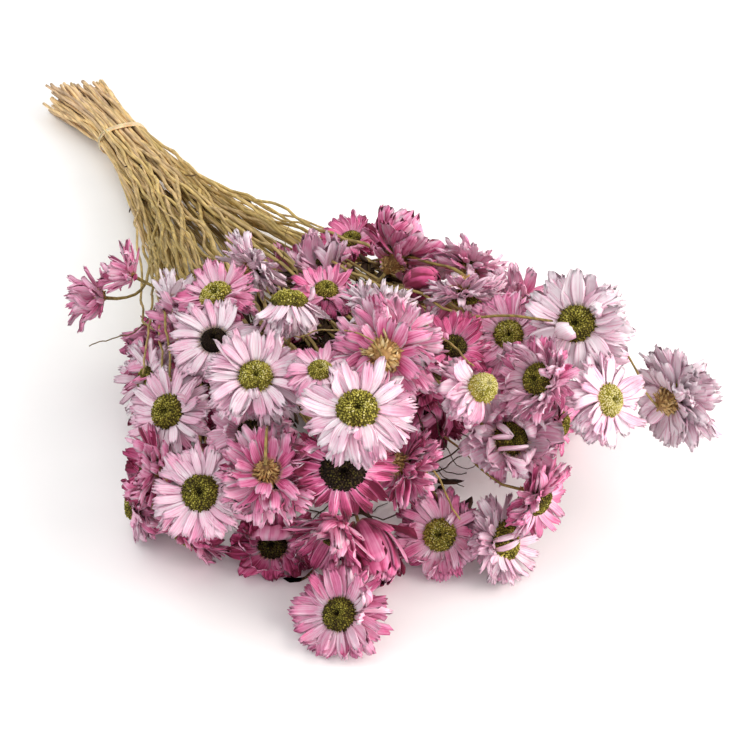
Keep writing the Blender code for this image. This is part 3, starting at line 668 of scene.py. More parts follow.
# ---- rays -----------------------------------------------------------------------------
def add_rays(made, flower, sizes):
    """All rays of one flower: its whorls of pleated, ragged bracts.

    Neighbours lean and sweep together, as sines of their bearing, and a few of the
    inner ones are folded over the disc.
    """
    if flower.form in SHUT_LAYERS:
        return add_shut_rays(made, flower)
    draw = drawing("rays", flower.number)
    untidy = flower.untidy
    spread = 4 + 28 * untidy
    whorls = WHORLS[flower.form]
    if flower.is_small:
        whorls = whorls[:3]
    for ring, whorl in enumerate(whorls):
        count, length, width, radius, height, lower, curl, shaded_pinker = whorl
        # Evenly round, each moved by up to 0.42 of a step, and bunched here and there.
        turn = np.arange(count) + 0.5 * (ring % 2) + draw.uniform(-0.42, 0.42, count)
        turn = turn * math.tau / count + ring * 0.7
        bunch = np.sin(turn * draw.integers(3, 6) + draw.uniform(0, math.tau))
        turn = turn + 0.10 * bunch
        length = flower.across * sizes.ray_length * length
        length = length * draw.uniform(0.88, 1.08, count)
        width = flower.across * sizes.ray_width * width * draw.uniform(0.82, 1.2, count)
        width = width * RAY_LOOKS.get(flower.number, 1.0)
        group = np.sin(turn * draw.integers(1, 4) + draw.uniform(0, math.tau))
        stray = group * (2 + 14 * untidy) + draw.normal(0, spread / 2, count)
        rise = np.radians(flower.lift - lower + stray)
        curl = curl + CURLS.get(flower.number, 0)
        curl = np.radians(curl + draw.normal(0, spread, count))
        tip_curl = np.radians(draw.normal(-4, 10 + 48 * untidy, count))
        folded = draw.random(count) < 0.05 * untidy * (ring < 3)
        curl = curl + folded * math.radians(95)
        cup = width * draw.normal(0.12, 0.13, count)
        pleat = width * draw.uniform(0.03, 0.085, count)
        roll = np.radians(draw.normal(0, 6 + 32 * untidy, count))
        radius = np.full(count, radius * flower.across)
        folds = () if ring else FOLDS.get(flower.number, ())
        for bearing, wider in folds:
            over = np.cos(turn - math.radians(bearing)).argmax()
            turn[over] = math.radians(bearing)
            rise[over], curl[over], tip_curl[over] = np.radians(FOLDED)
            roll[over] = 0
            width[over] *= wider
            radius[over] = flower.across * sizes.disc_width / 2 * flower.disc
        flow = np.sin(turn * draw.integers(1, 4) + draw.uniform(0, math.tau))
        sway = length * (flow * (0.09 + 0.30 * untidy)
                         + draw.normal(0, 0.04 + 0.10 * untidy, count))
        teeth = np.array(TEETH)[draw.integers(0, len(TEETH), count)]
        teeth = teeth + draw.uniform(-0.04, 0.02, teeth.shape)
        sheets = bent_sheets(length, width, rise, curl, tip_curl, cup, pleat, roll, sway,
                             teeth, sizes.ray_thickness, RAY_ROWS, base_width=0.45,
                             taper=0.16, blunt=0.0)
        height = np.full(count, height * flower.across)
        points = stand_round(flower, sheets, turn, radius, height)
        # The outer whorls lie under the inner ones and are made pinker as painted shade,
        # less so on pale heads.
        deep = flower.pink + shaded_pinker * min(max(0.25 + 1.6 * flower.pink, 0.2), 1.0)
        deep = deep + draw.normal(0, 0.07 + 0.07 * min(flower.pink, 1.0), count)
        seed = draw.random(count)
        if flower.number in SHED:
            kept = np.cos(turn - math.radians(SHED[flower.number])) > SHED_WITHIN
            points, deep, seed = points[kept], deep[kept], seed[kept]
        made.add(points, [sheet_pattern(RAY_ROWS, RAY_COLUMNS)], pink=deep, seed=seed)


def add_shut_rays(made, flower):
    """Rays of a shut bud, lying one over the other round an egg.

    A place on a ray, u along it and v across it from -1 to 1, has the angle pi (0.05 +
    reach u) from the egg's foot and stands v times `spread` off the ray's bearing,
    which turns on by `twist` u.  Its distance from the middle is 0.4 of the width, more
    by the layer's `lift`, by a fortieth of v, so each ray lies on its neighbour, and by
    `flare` u^3 at the tip, and it is `stretch` times as far along the axis.
    """
    draw = drawing("rays", flower.number)
    faces, places, own = sheet_pattern(SHUT_ROWS, RAY_COLUMNS)
    places = places * (0.4, 1.0) + (0.3, 0.0)
    stretch, layers = SHUT_LAYERS[flower.form]
    u = np.linspace(0, 1, SHUT_ROWS)[None, :, None]
    v = np.linspace(-1, 1, RAY_COLUMNS)[None, None, :]
    for order, (count, reach, spread, twist, lift, flare) in enumerate(layers):
        turn = np.arange(count) + 0.5 * order + draw.uniform(-0.12, 0.12, count)
        turn = (turn * math.tau / count)[:, None, None]
        part = reach * draw.uniform(0.95, 1.02, count)[:, None, None]
        tooth = np.array(TEETH)[draw.integers(0, len(TEETH), count)][:, None, :]
        polar = math.pi * (0.05 + part * u * (1 + 0.4 * tooth * u ** 4))
        bearing = turn + twist * u - v * spread * (1 - 0.15 * u)
        loose = draw.uniform(0, flare, count)[:, None, None] + flare
        size = 1 + lift + 0.025 * v + 0.008 * np.cos(3 * math.pi * v) + loose * u ** 3

        def placed(rise):
            far = flower.across * 0.40 * size + rise
            return np.stack(np.broadcast_arrays(
                far * np.sin(polar) * np.cos(bearing),
                far * np.sin(polar) * np.sin(bearing),
                -stretch * far * np.cos(polar)), axis=-1)

        points = both_sides(placed(-SHUT_THICK / 2), placed(SHUT_THICK / 2))
        made.add(flower.placed(points), [(faces, places, own)],
                 pink=flower.pink + draw.normal(0, 0.08, count), seed=draw.random(count))


# ---- discs ----------------------------------------------------------------------------
def dome_height(t, dimple):
    """Height of a disc as a part of its rise, from its middle (0) to its rim (1).

    A flat topped cushion, 1 - t^3.2, with a dimple that takes off a share of the height
    in the middle as a bell curve.
    """
    return (1 - t ** 3.2) * (1 - dimple * np.exp(-(t / 0.24) ** 2))


def add_spun(made, flower, profile, sides, **values):
    """A closed surface round a flower's axis: rows of radius and height, turned about it.

    The first and last rows are the poles, single points, and the faces point outwards
    when the heights fall along the profile.
    """
    turn = np.arange(sides) * math.tau / sides
    ring = profile[1:-1]
    points = np.stack((ring[:, :1] * np.cos(turn), ring[:, :1] * np.sin(turn),
                       np.broadcast_to(ring[:, 1:], (len(ring), sides))), axis=-1)
    points = np.vstack(((0, 0, profile[0, 1]), points.reshape(-1, 3),
                        (0, 0, profile[-1, 1])))
    parts = ring_faces(len(ring), sides, 1, 0, len(points) - 1)
    # A spun surface's faces go round the other way from a tube's.
    parts = [(np.roll(faces[:, ::-1], 1, axis=1), None, {}) for faces in parts]
    made.add(flower.placed(points)[None], parts, **values)


def add_disc(made, flower, sizes):
    """A dimpled cushion packed with small five sided florets along a golden spiral."""
    draw = drawing("disc", flower.number)
    across, count = flower.across, sizes.florets
    if not flower.is_open:
        across, count = across * 0.6, count // 4
    radius = across * sizes.disc_width / 2 * flower.disc
    dimple, rise = DIMPLE, across * 0.12
    if flower.number in SHED:
        dimple, rise = 0.25, across * 0.26
    base = 0.012 * across
    t = np.array((0, 0.1, 0.2, 0.3, 0.42, 0.56, 0.7, 0.82, 0.92, 1.0))
    profile = np.stack((t * radius, base + dome_height(t, dimple) * rise), axis=1)
    profile = np.vstack((profile, (radius * 0.9, base - across * 0.05),
                         (0, base - across * 0.06)))
    add_spun(made, flower, profile, DISC_SIDES, tip=0.0, ripe=flower.ripe + 0.1)

    order = np.arange(count) + 0.5
    t = np.sqrt(order / count)
    turn = order * GOLDEN + draw.normal(0, 0.06, count)
    slope = (dome_height(np.minimum(t + 0.02, 1), dimple)
             - dome_height(t - 0.02, dimple)) / 0.04
    slope = np.clip(slope * rise / radius, -2.2, 2.2)
    spot = np.stack((t * radius * np.cos(turn), t * radius * np.sin(turn),
                     base + dome_height(t, dimple) * rise), axis=1)
    way = unit(np.stack((-slope * np.cos(turn), -slope * np.sin(turn),
                         np.ones(count)), axis=1))
    way = unit(way + draw.normal(0, 0.22, (count, 3)))
    gap = radius * math.sqrt(math.pi / count)
    tall = gap * draw.uniform(0.35, 0.95, count)
    wide = gap * draw.uniform(0.44, 0.64, count)
    one = unit(np.cross(way, (0.3, 0.5, 0.1)))
    two = np.cross(way, one)
    five = draw.uniform(0, math.tau, count)[:, None] + np.arange(5) * math.tau / 5
    circle = (one[:, None] * np.cos(five)[..., None]
              + two[:, None] * np.sin(five)[..., None])
    start = spot - way * gap * 0.5
    low = start[:, None] + circle * (wide * 0.9)[:, None, None]
    high = (start + way * (tall + gap * 0.5)[:, None])[:, None]
    high = high + circle * (wide * 0.85)[:, None, None]
    tip = (start + way * (tall * 1.3 + gap * 0.5)[:, None])[:, None]
    florets = flower.placed(np.concatenate((low, high, tip, start[:, None]), 1))
    k = np.arange(5)
    after = (k + 1) % 5
    sides = np.stack((k, after, 5 + after, 5 + k), axis=1)
    fans = np.concatenate((np.stack((5 + k, 5 + after, np.full(5, 10)), 1),
                           np.stack((after, k, np.full(5, 11)), 1)))
    age_and_shade = flower.ripe + 0.16 * (t - 0.5) + draw.normal(0, 0.09, count)
    # The florets in the dimple are darker, painted shade in the hollow.
    age_and_shade = age_and_shade + dimple * 0.75 * np.exp(-(t / 0.15) ** 2)
    age_and_shade = age_and_shade + 0.22 * np.maximum(t - 0.9, 0) / 0.1
    made.add(florets, [(sides, None, {"tip": 0.35}),
                       (fans, None, {"tip": np.repeat((1.0, 0.0), 5)})], ripe=age_and_shade)


# ---- calyces --------------------------------------------------------------------------
def add_calyx(made, flower, sizes):
    """The cone behind a head, shingled with small crumpled scales."""
    draw = drawing("calyx", flower.number)
    across, count = flower.across, sizes.scales
    foot = FOOT[flower.form]
    outline = ((0, foot), (0.032, foot), (0.055, foot + 0.04), (0.105, foot + 0.12),
               (0.145, -0.05), (0.15, -0.02), (0, -0.01))
    if not flower.is_open:
        outline = ((0, foot), (0.05, foot), (0.11, foot + 0.07), (0.15, foot + 0.18),
                   (0.13, foot + 0.30), (0, foot + 0.32))
        count = count // 2
    if flower.is_small:
        count = count // 2
    outline = np.array(outline)[::-1] * across
    outline[:, 0] *= flower.calyx
    add_spun(made, flower, outline, CALYX_SIDES, front=0.0, seed=0.2 + flower.golden)

    t = (np.arange(count) + 0.5) / count
    turn = np.arange(count) * GOLDEN + draw.normal(0, 0.15, count)
    if flower.is_open:
        radius = flower.calyx * across * (0.028 + 0.105 * t ** 0.8)
        height = across * (foot + 0.010 - (foot + 0.065) * t ** 0.9)
        rise = np.radians(38 - 16 * t + draw.normal(0, 14, count))
        length = flower.calyx * across * draw.uniform(0.050, 0.105, count)
        width = flower.calyx * across * draw.uniform(0.014, 0.036, count)
    else:
        radius = across * (0.05 + 0.10 * t)
        height = across * (foot + 0.02 + 0.16 * t)
        rise = np.radians(54 + 14 * t + draw.normal(0, 9, count))
        length = across * draw.uniform(0.10, 0.20, count)
        width = across * draw.uniform(0.08, 0.13, count)
    curl = np.radians(draw.normal(-10, 40, count))
    tip_curl = np.radians(draw.normal(0, 60, count))
    cup = width * draw.normal(-0.1, 0.22, count)
    pleat = width * draw.uniform(0.0, 0.06, count)
    roll = np.radians(draw.normal(0, 22, count))
    sway = length * draw.normal(0, 0.15, count)
    teeth = draw.uniform(-0.25, 0.05, (count, 4))
    sheets = bent_sheets(length, width, rise, curl, tip_curl, cup, pleat, roll, sway,
                         teeth, sizes.ray_thickness, rows=4, base_width=0.6, taper=0.3)
    made.add(stand_round(flower, sheets, turn, radius, height), [sheet_pattern(4, 4)],
             seed=draw.random(count) + flower.golden)


# ---- stems ----------------------------------------------------------------------------
def run_of(line):
    """How far along a line each of its points is."""
    steps = np.linalg.norm(np.diff(line, axis=0), axis=1)
    return np.concatenate(((0,), np.cumsum(steps)))


def smooth_line(points, count):
    """`count` places evenly along a rounded curve through a string of points.

    Between two points the curve is a cubic whose directions there are those of the
    chords across them, with the parameter running as the root of each chord's length.
    """
    knots = np.concatenate(((0,), np.cumsum(
        np.linalg.norm(np.diff(points, axis=0), axis=1) ** 0.5)))
    way = np.gradient(points, knots, axis=0)
    fine = np.linspace(0, knots[-1], count * 4)
    piece = np.clip(np.searchsorted(knots, fine, side="right") - 1, 0, len(points) - 2)
    width = (knots[piece + 1] - knots[piece])[:, None]
    s = ((fine - knots[piece]) / width[:, 0])[:, None]
    curve = ((2 * s**3 - 3 * s**2 + 1) * points[piece]
             + (s**3 - 2 * s**2 + s) * width * way[piece]
             + (3 * s**2 - 2 * s**3) * points[piece + 1]
             + (s**3 - s**2) * width * way[piece + 1])
    run = run_of(curve)
    even = np.linspace(0, run[-1], count)
    return np.stack([np.interp(even, run, curve[:, k]) for k in range(3)], axis=1)


def add_tube(made, line, radius, sides, along, **values):
    """A closed tube: a ring of `sides` points carried along a line, and two end points.

    Each ring lies across the line's direction there, on two ways across that turn as
    little as they can: one is the last one with the new direction's share taken out.
    `along` says how far up its plant each point of the line is, from 0 to 1.
    """
    way = unit(np.gradient(line, axis=0))
    across = np.empty_like(way)
    across[0] = unit(np.cross(way[0], (0.31, 0.22, 0.92)))
    for k in range(1, len(way)):
        across[k] = unit(across[k - 1] - way[k] * (across[k - 1] @ way[k]))
    other = np.cross(way, across)
    turn = np.arange(sides) * math.tau / sides
    ring = (across[:, None] * np.cos(turn)[:, None]
            + other[:, None] * np.sin(turn)[:, None])
    rings = line[:, None] + ring * radius[:, None, None]
    points = np.vstack((rings.reshape(-1, 3), line[0], line[-1]))
    ends, walls = ring_faces(len(line), sides, 0, len(points) - 2, len(points) - 1)
    along = np.broadcast_to(along, len(line))
    made.add(points[None], [
        (ends, None, {"along": np.repeat((along[0], along[-1]), sides)}),
        (walls, None, {"along": np.repeat((along[1:] + along[:-1]) / 2, sides)})],
        **values)


def wander(draw, run, size, wave):
    """A small sideways drift along a length: three sines of random phase a direction."""
    drift = np.zeros((len(run), 3))
    for part in (1.0, 0.55, 0.3):
        phase = draw.uniform(0, math.tau, 3)
        pace = math.tau / (wave * part * draw.uniform(0.8, 1.3, 3))
        drift += size * part * np.sin(run[:, None] * pace + phase)
    return drift


def stem_line(flower, share, draw, sizes):
    """The line of one stem, from its cut end through the tie to the flower's foot.

    It follows the CAD stalk at its own place inside the stalk's round, which slowly
    turns, and then the branch.  The drift dies out at the tie and behind the head.
    """
    path = flower.path.copy()
    for _ in range(2):
        path[2:-3] = path[2:-3] / 2 + (path[1:-4] + path[3:-2]) / 4
    line = smooth_line(path, STEM_POINTS)
    run = run_of(line)
    ahead = TIE[1] - line[:, 1]
    held = np.exp(-(ahead / HELD_NEAR) ** 2)
    inside = 1 / (1 + np.exp((ahead - STALK_ENDS) / (STALK_ENDS / 4)))
    turn = share * math.tau + draw.uniform(-0.4, 0.4)
    turn = turn + run / TURNS_OVER * draw.choice((-1, 1))
    ring = np.stack((np.cos(turn), np.zeros(STEM_POINTS), np.sin(turn)), axis=1)
    line = line + ring * (STALK_ROUND * inside)[:, None]
    loose = np.clip((run[-1] - run) / CALM_BEHIND, 0, 1) ** 1.5 * (1 - 0.85 * held)
    loose = loose * (0.5 + 0.5 * (1 - inside))
    line = line + wander(draw, run, sizes.waviness, WAVE) * loose[:, None]
    between = np.sin(np.pi * np.clip(ahead / STRAYS_OVER, 0, 1)) ** 1.5
    inward = -np.sign(line[STEM_POINTS // 2] - TIE)
    line = line + between[:, None] * abs(draw.normal(0, 1, 3)) * inward * STRAYS
    behind = np.clip(-ahead / CUT_BEHIND, 0, None)
    line[:, 1] += draw.uniform(*CUT_RAGGED) * MM * behind
    line[:, 0] += draw.normal(0, CUT_SPREAD[0]) * MM * behind
    line[:, 2] += draw.normal(0, CUT_SPREAD[1]) * MM * behind
    return line


def add_stem(made, line, thick, draw):
    """One stem: a tube that thins toward its flower, with a few joints a little wider.

    Its radius is half the thickness, times 1.08 at the cut end falling evenly to 0.66,
    times one and a quarter in a narrow bell at each joint, and it swells by 0.35 in its
    last 3 hundredths, behind the head.
    """
    run = run_of(line)
    part = run / run[-1]
    joints = draw.uniform(0.1, 0.9, STEM_JOINTS)
    swell = 0.25 * np.exp(-((part[:, None] - joints) / 0.006) ** 2).sum(1)
    swell = swell + 0.35 * np.clip((part - 0.97) / 0.03, 0, 1)
    radius = thick / 2 * (1.08 - 0.42 * part) * (1 + swell)
    line[:, 2] = np.maximum(line[:, 2], thick / 2 + CLEAR)
    add_tube(made, line, radius, STEM_SIDES, part, seed=draw.random(), shoot=0.0)


def plan_stems(sizes):
    """The line of every stem, spray by spray, and the small buds on the spare ones.

    A spare stem runs between two of its plant's stems, at a fixed share of the way from
    one to the other, and stops short of them.
    """
    plan = {}
    number = len(FLOWERS)
    for order, name in enumerate(SPRAYS):
        draw = drawing("paths", order)
        members = [flower for flower in FLOWERS if flower.spray == name]
        total = len(members) + sizes.spare_stems
        lines = [stem_line(flower, index / total, draw, sizes)
                 for index, flower in enumerate(members)]
        stems = list(zip(lines, members))
        for spare in range(sizes.spare_stems):
            one, two = draw.choice(len(members), 2, replace=False)
            share = draw.uniform(0.25, 0.75)
            again = stem_line(members[one], (len(members) + spare) / total, draw, sizes)
            line = again * share + lines[two] * (1 - share)
            ahead = np.clip((TIE[1] - line[:, 1]) / STALK_ENDS, 0, 1)[:, None]
            line = again + (line - again) * ahead
            reach = draw.uniform(*SPARE_REACH) * MM
            line = line[:max(int(np.sum(TIE[1] - line[:, 1] < reach)), SPARE_LEAST)]
            run = run_of(line)
            late = ((run / run[-1]) ** 3)[:, None]
            line = line + late * draw.normal(0, 4 * MM, 3)
            line[:, 2:] -= late * np.maximum(line[:, 2:], 0) * SPARE_SINK
            number += 1
            across = draw.uniform(*SPARE_BUDS)
            axis = unit(unit(line[-1] - line[-4]) + draw.normal(0, 0.35, 3))
            line[:, 2] = np.maximum(line[:, 2], 1.5 * MM)
            middle = line[-1] - axis * FOOT["bud"] * across * MM
            # Their buds are deep pink, partly their own colour and partly painted shade
            # to darken the gaps low in the heap.
            look = (across, "bud", draw.uniform(0.60, 1.15), BUD_RIPE,
                    BUD_LIFT + draw.normal(0, 6), 0.8)
            stems.append((line, Flower(number, look, middle, axis)))
        plan[name] = stems
    return plan


def in_heap(line, draw):
    """Which points of a stem lie low among the flowers, from a start of its own."""
    ahead = TIE[1] - line[:, 1]
    low = ahead > HEAP_STARTS + draw.uniform(*HEAP_RAGGED)
    low &= line[:, 2] < HEAP_TOP
    low &= abs(line[:, 0] - TIE[0]) < HEAP_HALF
    low[-5:] = False
    return np.flatnonzero(low)


def add_leaves(made, line, draw, count):
    """Small shrivelled leaves along a stem: narrow sheets that curl back and twist.

    Most lie low among the flowers, where their dark colour also stands as painted shade
    in the gaps, and now and then one sits on the bare part.
    """
    spots = draw.integers(int(len(line) * 0.3), int(len(line) * 0.6),
                          int(draw.random() < BARE_LEAVES))
    few = len(spots)
    heap = in_heap(line, draw)
    if len(heap):
        spots = np.concatenate((spots, draw.choice(heap, count)))
    count = len(spots)
    if not count:
        return
    bare = np.arange(count) < few
    way = unit(line[spots + 1] - line[spots - 1])
    side = unit(np.cross(way, draw.normal(0, 1, (count, 3))))
    length = np.where(bare, draw.uniform(6, 10, count), draw.uniform(9, 22, count))
    width = np.where(bare, draw.uniform(1.2, 2, count), draw.uniform(2, 5, count))
    length, width = length * MM, width * MM
    rise = np.radians(draw.uniform(10, 60, count))
    curl = np.radians(draw.normal(20, 50, count))
    tip_curl = np.radians(draw.normal(0, 90, count))
    cup = width * draw.uniform(0.1, 0.5, count)
    roll = np.radians(draw.normal(0, 60, count))
    sway = length * draw.normal(0, 0.12, count)
    sheets = bent_sheets(length, width, rise, curl, tip_curl, cup, width * 0.02, roll,
                         sway, np.zeros((count, 4)), LEAF_THICK, rows=6,
                         base_width=0.25, taper=0.6)
    up = np.cross(side, way)
    points = in_frame(sheets, *(part[:, None] for part in (line[spots], side, way, up)))
    from_stem = points[..., 2] - line[spots][:, None, 2]
    points[..., 2] -= np.maximum(from_stem, 0) * LEAF_SINK
    points[..., 2] = np.maximum(points[..., 2], CLEAR)
    made.add(points, [sheet_pattern(6, 4)], seed=draw.random(count))


def add_twigs(made, line, draw, count):
    """Dark wiry side shoots low among the flowers, each a curved thread.

    A shoot leaves its stem at a slant and turns steadily about one way of its own.
    """
    heap = in_heap(line, draw)
    if not len(heap):
        return
    for spot in draw.choice(heap, count):
        reach = draw.uniform(18, 60) * MM
        run = np.linspace(0, reach, SHOOT_POINTS)
        way = unit(line[spot + 1] - line[spot - 1])
        one = unit(np.cross(way, draw.normal(0, 1, 3)))
        bend = draw.uniform(-1.6, 1.6)
        turn = draw.uniform(0.2, 0.9) + bend * run / reach
        step = way * np.cos(turn)[:, None] + one * np.sin(turn)[:, None]
        shoot = line[spot] + np.cumsum(step * reach / SHOOT_POINTS, axis=0)
        shoot = shoot + wander(draw, run, 0.8 * MM, 22 * MM)
        shoot = np.vstack((line[spot], shoot))
        if (shoot[:, 2].max() > HEAP_TOP or (TIE[1] - shoot[:, 1]).min() < HEAP_STARTS
                or abs(shoot[:, 0] - TIE[0]).max() > HEAP_HALF):
            continue
        thick = draw.uniform(0.6, 1.0) * MM
        shoot[:, 2] = np.maximum(shoot[:, 2], thick / 2 + CLEAR)
        radius = thick / 2 * np.linspace(1, 0.5, len(shoot))
        add_tube(made, shoot, radius, SHOOT_SIDES, 1.0, seed=draw.random(), shoot=1.0)


def add_straws(made, spray, draw):
    """The shoots and straws of a spray that lie apart, each thinning by two fifths."""
    for owner, thick, wiry, places in APART:
        if f"stem_spray_{owner:02d}" == spray:
            line = smooth_line(from_tie(places), STRAW_POINTS)
            line = line + wander(draw, run_of(line), 0.35 * MM, 16 * MM)
            radius = thick / 2 * MM * np.linspace(1, 0.6, STRAW_POINTS)
            add_tube(made, line, radius, SHOOT_SIDES, 0.9, seed=draw.random(), shoot=wiry)


# ---- materials ------------------------------------------------------------------------
def add_node(tree, kind, inputs=None, stops=(), **settings):
    """Add a node with its settings and links, and return its outputs.

    `inputs` says what each socket takes, a value or another node's output, and `stops`
    are the places and colours of a ramp's marks.
    """
    made = tree.nodes.new("ShaderNode" + kind)
    for name, value in settings.items():
        setattr(made, name, value)
    for name, value in (inputs or {}).items():
        if isinstance(value, bpy.types.NodeSocket):
            tree.links.new(value, made.inputs[name])
        else:
            made.inputs[name].default_value = value
    if stops:
        marks = made.color_ramp.elements
        for _ in stops[2:]:
            marks.new(0.5)
        for mark, (place, colour) in zip(marks, stops):
            mark.position, mark.color = place, colour
    return made.outputs


def source(tree, what):
    """What a pattern reads: a noise on Object coordinates, the map, or an attribute.

    A pair is a noise's scale, in steps a metre, and its detail; "X" and "Y" are the ways
    across and along a sheet's map; any other name is an attribute.
    """
    if isinstance(what, tuple):
        body = add_node(tree, "TexCoord")["Object"]
        return add_node(tree, "TexNoise", {"Vector": body, "Scale": what[0],
                                           "Detail": what[1]})["Fac"]
    if what in ("X", "Y"):
        place = add_node(tree, "UVMap", uv_map=MAP_NAME)["UV"]
        return add_node(tree, "SeparateXYZ", {0: place})[what]
    return add_node(tree, "Attribute", attribute_name=what)["Fac"]


def sum_of(tree, *parts):
    """A socket for a sum of numbers, sockets and sources, each alone or with a weight."""
    total = 0.0
    for part in parts:
        value, weight = part if isinstance(part, tuple) else (part, 1.0)
        if isinstance(value, (str, tuple)):
            value = source(tree, value)
        total = add_node(tree, "Math", {0: value, 1: weight, 2: total},
                         operation="MULTIPLY_ADD")[0]
    return total


def new_material(name, **values):
    """A Principled material with constant values set on the shader's own sockets."""
    made = bpy.data.materials.new(name)
    made.use_nodes = True
    shader = made.node_tree.nodes["Principled BSDF"]
    for socket, value in values.items():
        shader.inputs[socket.replace("_", " ")].default_value = value
    return made, made.node_tree, shader.inputs["Base Color"]


def toned_material(name, parts, stops, **values):
    """A material whose colour is a ramp over a sum of noises and attributes."""
    made, tree, colour = new_material(name, **values)
    tone = add_node(tree, "ValToRGB", {"Fac": sum_of(tree, *parts)}, stops)["Color"]
    tree.links.new(tone, colour)
    return made


def bract_material(colours):
    """Dry papery bract: a thin bleached sheet, matt with a faint silky sheen.

    Pale and nearly white on its face, rosier on its back and toward its tip, blushed in
    soft patches, drawn lengthwise with fine darker veins, and straw at its foot behind.
    Painted shade makes a pale ray's edges rosier and lays fine bands across it for small
    folds, and the pink it reads carries the painted shade of the outer whorls.
    """
    made, tree, colour = new_material("dry papery bract", Roughness=0.62,
                                      Specular_IOR_Level=0.25, Sheen_Weight=0.10)
    across, along, pink, front, seed = (
        source(tree, what) for what in ("X", "Y", "pink", "front", "seed"))
    # Veins: seven across a ray 5 mm wide, so 0.7 mm apart, drawn out along it.
    apart = add_node(tree, "Math", {0: seed, 1: 37.0}, operation="MULTIPLY")[0]
    place = add_node(tree, "CombineXYZ", {"X": across, "Y": along, "Z": apart})[0]
    place = add_node(tree, "VectorMath", {0: place, 1: (19.0, 1.2, 1.0)},
                     operation="MULTIPLY")[0]
    veins = add_node(tree, "TexNoise", {"Vector": place, "Scale": 1.0, "Detail": 3.0,
                                        "Roughness": 0.6})["Fac"]
    # Ribs: five light and dark bands across a ray 5 mm wide, so 1 mm apart, bent a little
    # by the veins, painted shade of small lengthwise folds.
    ribs = add_node(tree, "Math", {0: sum_of(tree, (across, 31.4), (veins, 9.0),
                                             (seed, 40.0))}, operation="SINE")[0]
    edge = sum_of(tree, (across, 2.0), -1.0)
    edge = add_node(tree, "Math", {0: sum_of(tree, (edge, edge)), 1: 2.0},
                    operation="POWER")[0]
    # A face is palest by the disc, and a back is deepest by the stalk.
    lean = add_node(tree, "Mix", {0: front, 2: sum_of(tree, (along, -0.40), 0.85),
                                  3: sum_of(tree, (along, 0.50), 0.60)},
                    data_type="FLOAT")[0]
    # A pale ray's edges are a little rosier than its middle, painted shade where they lie
    # under their neighbours, and a deep one's are paler, its own papery margin.
    rim = sum_of(tree, (pink, -0.75), 0.20)
    # Blushes: soft patches 6 mm wide.
    depth = sum_of(tree, (pink, lean), (edge, rim), (veins, 0.70), (ribs, 0.06),
                   ((160.0, 2.0), 0.55), -0.56)
    tone = add_node(tree, "ValToRGB", {"Fac": depth}, (
        (0.0, colours.pale), (0.25, colours.blush), (0.50, colours.rose),
        (0.75, colours.deep), (1.0, colours.dark)))["Color"]
    dark_vein = add_node(tree, "MapRange", {"Value": veins, "From Min": 0.56,
                                            "From Max": 0.70, "To Min": 0.0,
                                            "To Max": 0.5})[0]
    veined = add_node(tree, "Mix", {0: dark_vein, 6: tone, 7: linear("cb8498")},
                      data_type="RGBA", blend_type="MULTIPLY")[2]
    # The foot of a ray is straw coloured on its back.
    foot = sum_of(tree, (along, -3.4), (front, -1.5), 0.85)
    rooted = add_node(tree, "Mix", {0: foot, 6: veined, 7: colours.straw},
                      data_type="RGBA")[2]
    tree.links.new(rooted, colour)
    return made


def floret_material(colours):
    """Dry disc florets: a dense matt crust, mustard green when fresh and brown when ripe,
    darker in a disc's dimple as painted shade.

    The grain is 1.1 mm wide, and the greener and yellower patches 4 mm.
    """
    return toned_material(
        "dry disc florets",
        ("ripe", ("tip", -0.24), ((900.0, 2.0), 0.45), ((240.0, 1.0), 0.55), -0.32),
        ((0.0, linear("d6ce98")), (0.10, colours.fresh), (0.28, colours.mustard),
         (0.55, colours.olive), (0.85, colours.umber), (1.0, linear("1a0f08"))),
        Roughness=0.8, Specular_IOR_Level=0.2)


def scale_material():
    """Dry straw scales: thin, glossy-dry and crumpled, pale gold with brown feet.

    They are spotted every 2 mm.
    """
    return toned_material(
        "dry straw scales", (("Y", 0.45), ("seed", 0.35), ((500.0, 3.0), 0.5), -0.15),
        ((0.0, linear("5a3a1c")), (0.3, linear("a98149")), (0.6, linear("d3b070")),
         (1.0, linear("f0dfb0"))), Roughness=0.5, Specular_IOR_Level=0.35)


def stalk_material():
    """Dried stalk: straw, matt, ribbed lengthwise, greener up toward the flowers.

    The ribs are 1.1 mm apart and 17 mm long, and the patches of colour 14 mm wide.
    """
    made, tree, colour = new_material("dried straw stalk", Roughness=0.6,
                                      Specular_IOR_Level=0.3)
    tint = sum_of(tree, ("along", 0.80), ((70.0, 3.0), 0.35), ("seed", 0.40), -0.28)
    base = add_node(tree, "ValToRGB", {"Fac": tint}, (
        (0.0, linear("e2c09a")), (0.25, linear("e0c08c")), (0.6, linear("c4aa6a")),
        (1.0, linear("86743c"))))["Color"]
    body = add_node(tree, "TexCoord")["Object"]
    ribs = add_node(tree, "Mapping", {"Vector": body, "Scale": (900.0, 60.0, 900.0)})[0]
    ribs = add_node(tree, "TexNoise", {"Vector": ribs, "Scale": 1.0,
                                       "Detail": 2.0})["Fac"]
    shade = add_node(tree, "MapRange", {"Value": ribs, "From Min": 0.35,
                                        "From Max": 0.65, "To Min": 0.55,
                                        "To Max": 1.12})[0]
    tone = add_node(tree, "Math", {0: shade, 1: sum_of(tree, ("seed", 0.5), 0.75)},
                    operation="MULTIPLY")[0]
    ribbed = add_node(tree, "VectorMath", {0: base, "Scale": tone}, operation="SCALE")[0]
    wiry = add_node(tree, "Mix", {0: source(tree, "shoot"), 6: ribbed,
                                  7: linear("3a2a18")}, data_type="RGBA")[2]
    tree.links.new(wiry, colour)
    return made


